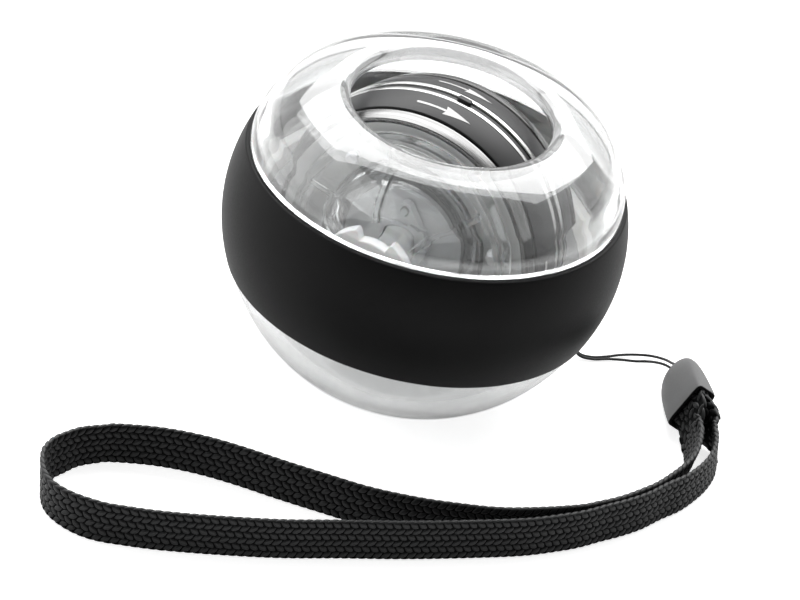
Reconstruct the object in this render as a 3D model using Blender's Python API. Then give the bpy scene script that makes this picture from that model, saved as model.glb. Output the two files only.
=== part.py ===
"""Gyroscopic wrist ball with a wind-up start and a braided wrist strap.

All sizes are in metres and +Z is up. The origin is the middle of the flat base.
The rotor's own parts are drawn about local Z, which the spin_axis empty lays along the axle.
"""
import math

import bmesh
import bpy
from mathutils import Matrix, Vector

# Ball
BALL_RADIUS = 0.0350
FACETS = 44

# Clearances
SEAT_GAP = 0.0003
RUN_GAP = 0.0002
DRILL_PAST = 0.0010

# Grip band, heights from the equator
BAND_THICKNESS = 0.0016
BAND_TOP = 0.2857 * BALL_RADIUS
BAND_BOTTOM = -0.3543 * BALL_RADIUS
BAND_EDGE_RADIUS = 0.0005
BAND_SWELL = 0.0003

# Race and carrier ring
SEAT_RADIUS = BALL_RADIUS - BAND_THICKNESS - SEAT_GAP
RACE_WALL = 0.0012
TIP_RADIUS = 0.0012
TIP_REACH = SEAT_RADIUS - RACE_WALL - SEAT_GAP
TIP_ROOM = 0.0010
TIP_ROUND = 0.0004
RING_OUTER = TIP_REACH - TIP_ROOM
RING_WALL = 0.0023
RING_INNER = RING_OUTER - RING_WALL
RING_HEIGHT = 0.0050
RING_CHAMFER = 0.0004
RIB_HEIGHT = 0.0016
RIB_DEPTH = 0.0013
BOSS_RADIUS = 0.0034
BOSS_DEPTH = 0.0013
BOSS_ROOT = 0.0010
CARRIER_TURN = math.radians(18.5)

# Axle
AXLE_RADIUS = 0.0015
BUSH_WALL = 0.0008
BUSH_FLANGE = 0.0009
BUSH_FLANGE_THICKNESS = 0.0005
SHOULDER_GAP = 0.0005
AXLE_SHOULDER = RING_INNER - BOSS_DEPTH - SEAT_GAP - BUSH_FLANGE_THICKNESS - SHOULDER_GAP

# Flywheel: distances along the axle are counted from its middle
CROWN_CLEARANCE = 0.0030
CROWN_RADIUS = RING_INNER - CROWN_CLEARANCE
CROWN_HALF_WIDTH = 0.0017
GROOVE_HALF_WIDTH = 0.0007
GROOVE_DEPTH = 0.0024
GROOVE_FLOOR = CROWN_RADIUS - GROOVE_DEPTH
GROOVE_RING_DROP = 0.0003
PLUG_LENGTH = 0.0024
PLUG_RISE = 0.0005
PLUG_TURN = math.radians(-4.0)
BAND_EDGE = 0.0068
BAND_EDGE_DROP = 0.0011
LABEL_THICKNESS = 0.0004
FLANGE_STEP = 0.0012
FLANGE_RADIUS = CROWN_RADIUS - FLANGE_STEP
FLANGE_DROP = 0.0007
GUTTER_WIDTH = 0.0007
GUTTER_DEPTH = 0.0020
FLANGE_START = BAND_EDGE + GUTTER_WIDTH
FLANGE_WIDTH = 0.0024
FLANGE_END = FLANGE_START + FLANGE_WIDTH
FLANGE_FACE = 0.0008
DISH_DEPTH = 0.0014
FLYWHEEL_FACETS = 32

# Shells, heights from the equator
LOWER_SHELL_STEP = 0.0004
LOWER_SHELL_RADIUS = BALL_RADIUS - LOWER_SHELL_STEP
SHELL_WALL = 0.0030
FLOOR_CLEARANCE = 0.0020
FLOOR_THICKNESS = 0.0026
EQUATOR_HEIGHT = CROWN_RADIUS + FLOOR_CLEARANCE + FLOOR_THICKNESS
BOWL_RIM_DROP = 0.0060
COLLAR_STEP = 0.0002
COLLAR_RADIUS = SEAT_RADIUS - COLLAR_STEP
COLLAR_DEPTH = 0.0025
DOME_FOOT_RADIUS = COLLAR_RADIUS - COLLAR_DEPTH
THROAT_RADIUS = 0.5057 * BALL_RADIUS
THROAT_INSET = 0.0005
LIP_WIDTH = 0.0026
LIP_CREST_RADIUS = THROAT_RADIUS + LIP_WIDTH
LIP_CREST_HEIGHT = 0.6771 * BALL_RADIUS
LIP_ROUND = 0.0015
THROAT_HEIGHT = LIP_CREST_HEIGHT - LIP_ROUND
LIP_THICKNESS = 0.0028
LIP_UNDERSIDE = LIP_CREST_HEIGHT - LIP_THICKNESS
DOME_FOOT_DROP = 0.0068
DOME_FOOT_HEIGHT = LIP_CREST_HEIGHT - DOME_FOOT_DROP
VAULT_HEIGHT = 0.2571 * BALL_RADIUS
VAULT_INSET = 0.0002

# Wind-up start
START_SEAT_DEPTH = 0.0019
COVER_SEAT = FLANGE_END - START_SEAT_DEPTH
COVER_RADIUS = 0.7905 * CROWN_RADIUS
COVER_RIM_HEIGHT = 0.0041
COVER_RIM_WALL = 0.0016
COVER_FLANGE_THICKNESS = 0.0010
COVER_DOME_RADIUS = 0.72 * COVER_RADIUS
COVER_WALL = 0.0012
COVER_RIBS = 6
COVER_RIB_THICKNESS = 0.0010
COVER_RIB_TURN = math.radians(45.0)
SCREW_COUNT = 3
SCREW_TURN = math.radians(15.0)
SCREW_HEAD_RADIUS = 0.0011
SCREW_HEAD_HEIGHT = 0.0007
SCREW_SHANK_RADIUS = 0.0005
SCREW_LENGTH = 0.0030
SCREW_CIRCLE = COVER_RADIUS - COVER_RIM_WALL - SCREW_HEAD_RADIUS - SEAT_GAP
WELL_RADIUS = 0.74 * COVER_RADIUS
WELL_FLOOR = 0.0026
ARBOR_RADIUS = 0.18 * COVER_RADIUS
ARBOR_FLANGE_RADIUS = 0.55 * COVER_RADIUS
ARBOR_RISE = 0.0006
ARBOR_FLANGE_BASE = COVER_SEAT + ARBOR_RISE
ARBOR_FLANGE_THICKNESS = 0.0010
SPRING_TURNS = 6
SPRING_STEPS = 20
SPRING_THICKNESS = 0.0005
SPRING_CLEARANCE = 0.0010
SPRING_OUTER = WELL_RADIUS - SPRING_CLEARANCE
SPRING_INNER = ARBOR_RADIUS + SPRING_CLEARANCE
SPRING_HEADROOM = 0.0012
SPRING_HEIGHT = COVER_SEAT - WELL_FLOOR - SPRING_HEADROOM
ANCHOR_RADIUS = 0.0006
PAWL_THICKNESS = 0.0014
PAWL_PIVOT_RADIUS = 0.42 * COVER_RADIUS
PAWL_EYE_RADIUS = 0.0013
PAWL_PIN_RADIUS = 0.0006
PAWL_TIP_RADIUS = 0.33 * COVER_RADIUS
PAWL_TIP_TURN = math.radians(38.0)
RATCHET_TEETH = 12
RATCHET_TIP = 0.29 * COVER_RADIUS
RATCHET_ROOT = 0.235 * COVER_RADIUS
RATCHET_TURN = math.radians(20.0)
SLEEVE_RADIUS = 0.155 * COVER_RADIUS
COVER_NECK_RADIUS = SLEEVE_RADIUS + SEAT_GAP + COVER_WALL
DISC_THICKNESS = 0.0020
DISC_RADIUS = 0.0088
DISC_NOTCHES = 4
DISC_NOTCH_DEPTH = 0.0018
DISC_NOTCH_RADIUS = DISC_RADIUS - DISC_NOTCH_DEPTH
DISC_NOTCH_ANGLE = math.radians(40.0)
DOG_WIDTH = 0.0042
DOG_DEPTH = 0.0018
DOG_ROOT = 0.0012
CLIP_RADIUS = 0.0032
CLIP_THICKNESS = 0.0006
CLIP_LAND = 0.0008
DISC_BASE = AXLE_SHOULDER - CLIP_LAND - CLIP_THICKNESS - SEAT_GAP - DISC_THICKNESS
COVER_HEADROOM = 0.0028
COVER_DOME_RISE = DISC_BASE - COVER_SEAT - COVER_HEADROOM

# Plain side
PLAIN_DOME_RISE = 0.0089
PLAIN_DOME_RADIUS = 0.97 * COVER_RADIUS
HUB_RADIUS = 0.0045
HUB_RISE = 0.0008
SPACER_RADIUS = 0.0036
SPACER_CHAMFER = 0.0005

# Lanyard
HOLE_AZIMUTH = math.radians(29.0)
HOLE_DROP = 0.5058 * LOWER_SHELL_RADIUS
HOLE_SPACING = 0.0034
HOLE_RADIUS = 0.0008
LANYARD_ORIGIN = Vector((0.02610, 0.01447, 0.0))
STRING_DIAMETER = 0.0005
STRING_SPACING = 0.0006
STRAP_WIDTH = 0.0080
STRAP_THICKNESS = 0.0009
STRAP_LAYER_GAP = 0.0004
STRAP_LAYER_SPACING = STRAP_THICKNESS + STRAP_LAYER_GAP
STRAP_OUTER_LEAN = math.radians(-14.0)
STRAP_OUTER_SETTLE = (0.0036, 0.0060)
STRAP_OUTER_FADE = (0.0070, 0.0190)
STRAP_INNER_LEAN = math.radians(9.0)
STRAP_INNER_SETTLE = (0.0030, 0.0045)
STRAP_INNER_FADE = (0.0180, 0.0120)
STRAP_TURN_LEAN = math.radians(9.5)
STRAP_TURN_PLACE = 0.510
STRAP_TURN_SPREAD = 0.0100
STRAP_POINTS = 80
CAP_MOUTH = Vector((0.0532, -0.0008, 0.0057))
CAP_DIRECTION = Vector((-0.240, 0.960, -0.144))
CAP_LEAN = math.radians(27.6)
CAP_LENGTH = 0.0159
CAP_WALL = 0.0005
CAP_ROOM = 0.0003
CAP_SLACK = 0.0010
CAP_WIDTH = STRAP_WIDTH + 2 * CAP_WALL + CAP_ROOM
CAP_THICKNESS = STRAP_LAYER_SPACING + STRAP_THICKNESS + 2 * CAP_WALL + CAP_SLACK
CAP_FULLNESS = 3.35
CAP_MOUTH_SQUARENESS = 0.28
CAP_CROWN_WALL = 0.0012
CAP_HOLE_WIDE = 0.00125
CAP_HOLE_THIN = 0.00065
KNOT_RADIUS = 0.0012


def clear_scene():
    """Remove every object that the file opened with."""
    for obj in list(bpy.data.objects):
        bpy.data.objects.remove(obj, do_unlink=True)


def finish(name, colour, roughness, metallic=0.0, alpha=1.0, transmission=0.0):
    """Make a Principled material."""
    material = bpy.data.materials.new(name)
    material.use_nodes = True
    shader = material.node_tree.nodes["Principled BSDF"]
    shader.inputs["Base Color"].default_value = (*colour, 1.0)
    shader.inputs["Roughness"].default_value = roughness
    shader.inputs["Metallic"].default_value = metallic
    shader.inputs["Alpha"].default_value = alpha
    shader.inputs["Transmission Weight"].default_value = transmission
    material.diffuse_color = (*colour, alpha)
    return material


def empty(name, location, rotation, parent=None):
    """Make an empty that marks a joint's axis."""
    marker = bpy.data.objects.new(name, None)
    marker.empty_display_size = 0.01
    marker.location = location
    marker.rotation_euler = rotation
    marker.parent = parent
    bpy.context.collection.objects.link(marker)
    return marker


def add_object(name, mesh_builder, material, parent=None, location=(0, 0, 0), turn=0.0, sharp=35.0):
    """Turn a bmesh into a smooth-shaded object of its own."""
    bmesh.ops.remove_doubles(mesh_builder, verts=mesh_builder.verts, dist=1e-7)
    bmesh.ops.recalc_face_normals(mesh_builder, faces=mesh_builder.faces)
    mesh = bpy.data.meshes.new(name)
    mesh_builder.to_mesh(mesh)
    mesh_builder.free()
    mesh.shade_smooth()
    mesh.set_sharp_from_angle(angle=math.radians(sharp))
    mesh.materials.append(material)
    obj = bpy.data.objects.new(name, mesh)
    obj.parent = parent
    obj.location = location
    obj.rotation_euler = (0.0, 0.0, turn)
    bpy.context.collection.objects.link(obj)
    return obj


def combine(obj, tool, operation):
    """Add a Boolean whose tool is hidden from the finished model."""
    tool.hide_render = True
    tool.display_type = "WIRE"
    modifier = obj.modifiers.new(operation.lower(), "BOOLEAN")
    modifier.operation = operation
    modifier.solver = "EXACT"
    modifier.object = tool


def turned(outline, facets):
    """Spin an outline of (radius, height) points about Z."""
    body = bmesh.new()
    points = [body.verts.new((radius, 0.0, height)) for radius, height in outline]
    closed = outline[0][0] > 0.0 or outline[-1][0] > 0.0
    edges = [body.edges.new(pair) for pair in zip(points, points[1:])]
    if closed:
        edges.append(body.edges.new((points[-1], points[0])))
    bmesh.ops.spin(body, geom=points + edges, cent=(0, 0, 0), axis=(0, 0, 1),
                   angle=math.tau, steps=facets, use_merge=True)
    bmesh.ops.remove_doubles(body, verts=body.verts, dist=1e-7)
    return body


def cylinder(radius, bottom, top, facets, centre=(0.0, 0.0)):
    """Make a plain cylinder along Z."""
    body = bmesh.new()
    middle = Matrix.Translation((*centre, (bottom + top) / 2))
    bmesh.ops.create_cone(body, cap_ends=True, segments=facets, radius1=radius, radius2=radius,
                          depth=top - bottom, matrix=middle)
    return body


def prism(outline, bottom, top):
    """Extrude a flat outline of (x, y) points along Z."""
    body = bmesh.new()
    face = body.faces.new([body.verts.new((x, y, bottom)) for x, y in outline])
    grown = bmesh.ops.extrude_face_region(body, geom=[face])
    risen = [item for item in grown["geom"] if isinstance(item, bmesh.types.BMVert)]
    bmesh.ops.translate(body, verts=risen, vec=(0, 0, top - bottom))
    return body


def ring_prism(outline, bore, bottom, top):
    """Extrude an outline with a round bore, one bore point beside each outline point."""
    body = bmesh.new()
    outer = [body.verts.new((x, y, bottom)) for x, y in outline]
    inner = []
    for x, y in outline:
        scale = bore / math.hypot(x, y)
        inner.append(body.verts.new((x * scale, y * scale, bottom)))
    faces = []
    count = len(outline)
    for i in range(count):
        j = (i + 1) % count
        faces.append(body.faces.new((outer[i], outer[j], inner[j], inner[i])))
    grown = bmesh.ops.extrude_face_region(body, geom=faces)
    risen = [item for item in grown["geom"] if isinstance(item, bmesh.types.BMVert)]
    bmesh.ops.translate(body, verts=risen, vec=(0, 0, top - bottom))
    return body


def polar(radius, angle):
    """Give the (x, y) point at an angle from +X."""
    return radius * math.cos(angle), radius * math.sin(angle)


def sphere_arc(radius, start, end, steps):
    """Points of a sphere's outline between two heights."""
    points = []
    for i in range(steps + 1):
        height = start + (end - start) * i / steps
        points.append((math.sqrt(radius * radius - height * height), height))
    return points


def ellipse_arc(centre, reach, rise, start, end, steps):
    """Points of an ellipse about centre, with angles from its outer side to its top."""
    points = []
    for i in range(steps + 1):
        angle = math.radians(start + (end - start) * i / steps)
        points.append((centre[0] + reach * math.cos(angle), centre[1] + rise * math.sin(angle)))
    return points


def smooth_route(points, count):
    """Read points at even spacing from a Catmull-Rom curve through the route's own points."""
    knots = [points[0] * 2 - points[1]] + points + [points[-1] * 2 - points[-2]]
    dense = []
    for i in range(1, len(knots) - 2):
        before, a, b, after = knots[i - 1:i + 3]
        for k in range(24):
            t = k / 24
            dense.append(0.5 * (2 * a + (b - before) * t + (2 * before - 5 * a + 4 * b - after) * t * t
                                + (3 * a - before - 3 * b + after) * t ** 3))
    dense.append(points[-1].copy())
    reach = [0.0]
    for a, b in zip(dense, dense[1:]):
        reach.append(reach[-1] + (b - a).length)
    route = []
    k = 0
    for i in range(count):
        goal = reach[-1] * i / (count - 1)
        while k < len(reach) - 2 and reach[k + 1] < goal:
            k += 1
        share = (goal - reach[k]) / (reach[k + 1] - reach[k])
        route.append(dense[k].lerp(dense[k + 1], share))
    return route, reach[-1]


def cord(name, route, material, depth, extrude=0.0, tilts=None, resolution=2):
    """Make a round or flat cord as one open curve with filled caps."""
    curve = bpy.data.curves.new(name, "CURVE")
    curve.dimensions = "3D"
    curve.twist_mode = "Z_UP"
    curve.bevel_depth = depth
    curve.bevel_resolution = resolution
    curve.extrude = extrude
    curve.use_fill_caps = True
    spline = curve.splines.new("POLY")
    spline.points.add(len(route) - 1)
    for i, place in enumerate(route):
        spline.points[i].co = (*place, 1.0)
        spline.points[i].tilt = tilts[i] if tilts else 0.0
    curve.materials.append(material)
    obj = bpy.data.objects.new(name, curve)
    bpy.context.collection.objects.link(obj)
    return obj


# Shells and band


def race_outline(side):
    """The race, from the parting plane inwards and up to the rib that keeps the carrier ring in."""
    bore = RING_OUTER + SEAT_GAP
    ledge = RING_HEIGHT / 2 + SEAT_GAP
    return [
        (SEAT_RADIUS, side * SEAT_GAP / 2),
        (TIP_REACH + SEAT_GAP, side * SEAT_GAP / 2),
        (TIP_REACH + SEAT_GAP, side * (TIP_RADIUS + RUN_GAP)),
        (bore, side * (TIP_RADIUS + RUN_GAP)),
        (bore, side * ledge),
        (bore - RIB_DEPTH, side * ledge),
        (bore - RIB_DEPTH, side * (ledge + RIB_HEIGHT)),
    ]


def upper_shell(clear):
    """Clear dome with the rounded lip of the thumb opening, a collar and the upper race."""
    collar_base = BAND_TOP + SEAT_GAP
    bottom = sphere_arc(SEAT_RADIUS, collar_base, SEAT_GAP / 2, 2)
    vault = (THROAT_RADIUS + THROAT_INSET, VAULT_HEIGHT)
    inside = ellipse_arc(vault, RING_OUTER - VAULT_INSET - vault[0], LIP_UNDERSIDE - VAULT_HEIGHT, 0, 90, 6)
    foot_sine = 0.30
    dome_rise = (LIP_CREST_HEIGHT - DOME_FOOT_HEIGHT) / (1 - foot_sine)
    dome_reach = (DOME_FOOT_RADIUS - LIP_CREST_RADIUS) / math.sqrt(1 - foot_sine ** 2)
    dome_centre = (LIP_CREST_RADIUS, LIP_CREST_HEIGHT - dome_rise)
    foot_angle = math.degrees(math.asin(foot_sine))
    dome = ellipse_arc(dome_centre, dome_reach, dome_rise, 90, foot_angle, 6)
    lip_centre = (LIP_CREST_RADIUS, THROAT_HEIGHT)
    lip = ellipse_arc(lip_centre, LIP_CREST_RADIUS - THROAT_RADIUS, LIP_CREST_HEIGHT - THROAT_HEIGHT, 180, 90, 4)
    collar_height = DOME_FOOT_HEIGHT - collar_base
    collar = [(COLLAR_RADIUS - COLLAR_DEPTH * inset, DOME_FOOT_HEIGHT - collar_height * drop)
              for inset, drop in ((0.84, 0.08), (0.48, 0.26), (0.24, 0.47), (0.08, 0.71), (0.0, 1.0))]
    race = race_outline(1)
    edge = [(THROAT_RADIUS, LIP_UNDERSIDE + 0.3 * (THROAT_HEIGHT - LIP_UNDERSIDE))]
    outline = race[1:] + inside + edge + lip + dome[1:] + collar + bottom
    return add_object("upper_shell", turned(outline, FACETS), clear, location=(0, 0, EQUATOR_HEIGHT))


def lower_shell(clear):
    """Clear bowl with the flat base, the lower race and the two lanyard holes."""
    step = BAND_BOTTOM - SEAT_GAP
    under_band = sphere_arc(SEAT_RADIUS, -SEAT_GAP / 2, step, 2)
    bowl = sphere_arc(LOWER_SHELL_RADIUS, step, -EQUATOR_HEIGHT, 6)
    inner_radius = LOWER_SHELL_RADIUS - SHELL_WALL
    floor = -EQUATOR_HEIGHT + FLOOR_THICKNESS
    inside = sphere_arc(inner_radius, floor, -BOWL_RIM_DROP, 6)
    race = race_outline(-1)
    race.reverse()
    outline = under_band + bowl + [(0.0, -EQUATOR_HEIGHT), (0.0, floor)] + inside + race[:-1]
    body = add_object("lower_shell", turned_with_axis(outline), clear, location=(0, 0, EQUATOR_HEIGHT))
    for i, (place, _) in enumerate(string_hole_places()):
        drill = cylinder(HOLE_RADIUS, -SHELL_WALL - DRILL_PAST, DRILL_PAST, 10)
        tool = add_object(f"lanyard_drill_{i + 1}", drill, clear, location=place)
        tool.rotation_euler = Vector((0, 0, 1)).rotation_difference(hole_direction()).to_euler()
        combine(body, tool, "DIFFERENCE")
    return body


def turned_with_axis(outline):
    """Spin an outline that touches the axis in two points next to each other."""
    first = next(i for i, (radius, _) in enumerate(outline) if radius == 0.0)
    return turned(outline[first + 1:] + outline[:first + 1], FACETS)


def grip_band(rubber):
    """Soft band round the equator, with rounded edges."""
    edge = BAND_EDGE_RADIUS
    middle = (BAND_TOP + BAND_BOTTOM) / 2
    half = (BAND_TOP - BAND_BOTTOM) / 2
    outer = [(radius + BAND_SWELL * (1 - ((height - middle) / half) ** 2), height)
             for radius, height in sphere_arc(BALL_RADIUS, BAND_BOTTOM + edge, BAND_TOP - edge, 6)]
    inner = sphere_arc(BALL_RADIUS - BAND_THICKNESS, BAND_TOP, 0.0, 2)
    inner += sphere_arc(BALL_RADIUS - BAND_THICKNESS, 0.0, BAND_BOTTOM, 2)[1:]
    top_radius = outer[-1][0]
    bottom_radius = outer[0][0]
    top = [(top_radius - 0.3 * edge, BAND_TOP - 0.2 * edge), (top_radius - edge, BAND_TOP)]
    bottom = [(bottom_radius - edge, BAND_BOTTOM), (bottom_radius - 0.3 * edge, BAND_BOTTOM + 0.2 * edge)]
    return add_object("grip_band", turned(outer + top + inner + bottom, FACETS), rubber,
                      location=(0, 0, EQUATOR_HEIGHT))


# Carrier ring and axle


def carrier_ring(plastic, ring_axis, spin_axis):
    """Ring in the race, with a boss at each axle tip and the dog that holds the start disc."""
    half = RING_HEIGHT / 2
    cut = RING_CHAMFER
    outline = [
        (RING_INNER, -half + cut), (RING_INNER + cut, -half), (RING_OUTER - cut, -half), (RING_OUTER, -half + cut),
        (RING_OUTER, half - cut), (RING_OUTER - cut, half), (RING_INNER + cut, half), (RING_INNER, half - cut),
    ]
    ring = add_object("carrier_ring", turned(outline, FACETS), plastic, parent=ring_axis)
    bore = TIP_RADIUS + RUN_GAP / 2 + BUSH_WALL + SEAT_GAP
    inner_face = RING_INNER - BOSS_DEPTH
    for side, word in ((1, "start"), (-1, "plain")):
        low, high = sorted((side * inner_face, side * (RING_INNER + BOSS_ROOT)))
        boss = add_object(f"{word}_boss", cylinder(BOSS_RADIUS, low, high, 20), plastic, parent=spin_axis)
        combine(ring, boss, "UNION")
    drill = cylinder(bore, -RING_OUTER - DRILL_PAST, RING_OUTER + DRILL_PAST, 16)
    combine(ring, add_object("bush_drill", drill, plastic, parent=spin_axis), "DIFFERENCE")
    dog_inner = DISC_NOTCH_RADIUS + SEAT_GAP
    dog_outer = dog_inner + DOG_DEPTH
    foot = math.sqrt(RING_INNER ** 2 - dog_outer ** 2) + DOG_ROOT
    half_width = DOG_WIDTH / 2
    corners = [(dog_inner, -half_width), (dog_outer, -half_width), (dog_outer, half_width), (dog_inner, half_width)]
    dog = add_object("start_dog", prism(corners, DISC_BASE + SEAT_GAP, foot), plastic, parent=spin_axis)
    combine(ring, dog, "UNION")
    return ring


def axle(steel, spin_axis):
    """Steel axle with thin rounded tips and a groove for the clip."""
    clip_low = DISC_BASE + DISC_THICKNESS + SEAT_GAP
    clip_high = clip_low + CLIP_THICKNESS
    outline = [
        (0.0, -TIP_REACH), (TIP_RADIUS - TIP_ROUND, -TIP_REACH), (TIP_RADIUS, -TIP_REACH + TIP_ROUND),
        (TIP_RADIUS, -AXLE_SHOULDER), (AXLE_RADIUS, -AXLE_SHOULDER),
        (AXLE_RADIUS, clip_low - SEAT_GAP / 2), (TIP_RADIUS, clip_low - SEAT_GAP / 2),
        (TIP_RADIUS, clip_high + SEAT_GAP / 2), (AXLE_RADIUS, clip_high + SEAT_GAP / 2),
        (AXLE_RADIUS, AXLE_SHOULDER), (TIP_RADIUS, AXLE_SHOULDER),
        (TIP_RADIUS, TIP_REACH - TIP_ROUND), (TIP_RADIUS - TIP_ROUND, TIP_REACH), (0.0, TIP_REACH),
    ]
    return add_object("axle", turned(outline, 16), steel, parent=spin_axis)


def tip_bush(name, side, bronze, spin_axis):
    """Flanged bush in the carrier ring, round one axle tip."""
    bore = TIP_RADIUS + RUN_GAP / 2
    wall = bore + BUSH_WALL
    face = RING_INNER - BOSS_DEPTH - SEAT_GAP
    outline = [
        (bore, face - BUSH_FLANGE_THICKNESS), (wall + BUSH_FLANGE, face - BUSH_FLANGE_THICKNESS),
        (wall + BUSH_FLANGE, face), (wall, face), (wall, RING_OUTER - SEAT_GAP), (bore, RING_OUTER - SEAT_GAP),
    ]
    return add_object(name, turned([(radius, side * along) for radius, along in outline], 16), bronze,
                      parent=spin_axis)


# Flywheel


def rim_outline():
    """Outer edge of one flywheel half, from the groove between the halves to its flange."""
    seat = CROWN_RADIUS - LABEL_THICKNESS - SEAT_GAP
    lip = FLANGE_RADIUS - FLANGE_DROP
    return [
        (GROOVE_FLOOR, SEAT_GAP / 2), (GROOVE_FLOOR, GROOVE_HALF_WIDTH),
        (CROWN_RADIUS - 0.0004, GROOVE_HALF_WIDTH), (CROWN_RADIUS, GROOVE_HALF_WIDTH + 0.0005),
        (CROWN_RADIUS, CROWN_HALF_WIDTH), (seat, CROWN_HALF_WIDTH),
        (seat - BAND_EDGE_DROP, BAND_EDGE), (seat - GUTTER_DEPTH, BAND_EDGE + SEAT_GAP),
        (seat - GUTTER_DEPTH, FLANGE_START), (FLANGE_RADIUS - 0.0002, FLANGE_START),
        (FLANGE_RADIUS, FLANGE_START + 0.0002), (lip, FLANGE_END - 0.0003),
        (lip - 0.0002, FLANGE_END), (lip - FLANGE_FACE, FLANGE_END),
        (lip - FLANGE_FACE - 0.0003, FLANGE_END - 0.0004),
        (COVER_RADIUS + 0.0004, FLANGE_END - DISH_DEPTH),
    ]


def flywheel_start_half(zinc, spin_axis):
    """Metal half on the start side, hollowed for the spring."""
    bore = AXLE_RADIUS + SEAT_GAP
    hollow = [
        (COVER_RADIUS + SEAT_GAP, COVER_SEAT), (WELL_RADIUS, COVER_SEAT), (WELL_RADIUS, WELL_FLOOR),
        (bore, WELL_FLOOR), (bore, SEAT_GAP / 2),
    ]
    half = add_object("flywheel_start_half", turned(rim_outline() + hollow, FLYWHEEL_FACETS), zinc,
                      parent=spin_axis)
    for i, place in enumerate(screw_places()):
        drill = cylinder(SCREW_SHANK_RADIUS + SEAT_GAP, COVER_SEAT - SCREW_LENGTH, COVER_SEAT + DRILL_PAST, 10, place)
        combine(half, add_object(f"screw_drill_{i + 1}", drill, zinc, parent=spin_axis), "DIFFERENCE")
    return half


def flywheel_plain_half(zinc, spin_axis):
    """Solid metal half with a turned dome."""
    bore = AXLE_RADIUS + SEAT_GAP
    base = FLANGE_END - DISH_DEPTH
    neck_angle = math.degrees(math.acos(HUB_RADIUS / PLAIN_DOME_RADIUS))
    dome = ellipse_arc((0.0, base), PLAIN_DOME_RADIUS, PLAIN_DOME_RISE, 0, neck_angle, 6)
    hub = base + PLAIN_DOME_RISE + HUB_RISE
    outline = rim_outline() + dome + [(HUB_RADIUS, hub), (bore, hub), (bore, SEAT_GAP / 2)]
    return add_object("flywheel_plain_half", turned([(r, -along) for r, along in outline], FLYWHEEL_FACETS), zinc,
                      parent=spin_axis)


def groove_ring(rubber, spin_axis):
    """Dark ring in the groove between the halves."""
    half = GROOVE_HALF_WIDTH - SEAT_GAP
    inner = GROOVE_FLOOR + SEAT_GAP
    outer = CROWN_RADIUS - GROOVE_RING_DROP
    outline = [(inner, -half), (outer - 0.0001, -half), (outer, 0.0), (outer - 0.0001, half), (inner, half)]
    return add_object("groove_ring", turned(outline, FLYWHEEL_FACETS), rubber, parent=spin_axis)


def groove_plug(rubber, spin_axis):
    """Small moulded key on the groove ring."""
    half = GROOVE_HALF_WIDTH - SEAT_GAP
    base = CROWN_RADIUS - GROOVE_RING_DROP + SEAT_GAP
    top = CROWN_RADIUS + PLUG_RISE
    plug = bmesh.new()
    bmesh.ops.create_cube(plug, size=1.0, matrix=Matrix.Diagonal((PLUG_LENGTH, top - base, 2 * half, 1.0)))
    bmesh.ops.bevel(plug, geom=plug.edges[:], offset=0.0001, segments=1, profile=0.5, affect="EDGES", material=-1)
    bmesh.ops.translate(plug, verts=plug.verts, vec=(0.0, (top + base) / 2, 0.0))
    return add_object("groove_plug", plug, rubber, parent=spin_axis, turn=PLUG_TURN)


def arrow_band(name, side, paint, spin_axis):
    """Thin printed band in its seat beside the crown."""
    inner = CROWN_RADIUS - LABEL_THICKNESS
    start = CROWN_HALF_WIDTH + SEAT_GAP
    outline = [
        (inner, side * start), (CROWN_RADIUS, side * start),
        (CROWN_RADIUS - BAND_EDGE_DROP, side * BAND_EDGE), (inner - BAND_EDGE_DROP, side * BAND_EDGE),
    ]
    return add_object(name, turned(outline, FLYWHEEL_FACETS), paint, parent=spin_axis)


def plain_spacer(nylon, spin_axis):
    """Sleeve on the axle between the plain half and its bush."""
    bore = AXLE_RADIUS + SEAT_GAP
    start = FLANGE_END - DISH_DEPTH + PLAIN_DOME_RISE + HUB_RISE + SEAT_GAP
    end = AXLE_SHOULDER - SEAT_GAP
    outline = [(bore, -start), (SPACER_RADIUS, -start), (SPACER_RADIUS, -end + SPACER_CHAMFER),
               (SPACER_RADIUS - SPACER_CHAMFER, -end), (bore, -end)]
    return add_object("plain_spacer", turned(outline, 20), nylon, parent=spin_axis)


# Wind-up start


def screw_places():
    """Centres of the cover's screws in the rotor's own plane."""
    return [polar(SCREW_CIRCLE, SCREW_TURN + math.tau * i / SCREW_COUNT) for i in range(SCREW_COUNT)]


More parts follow.
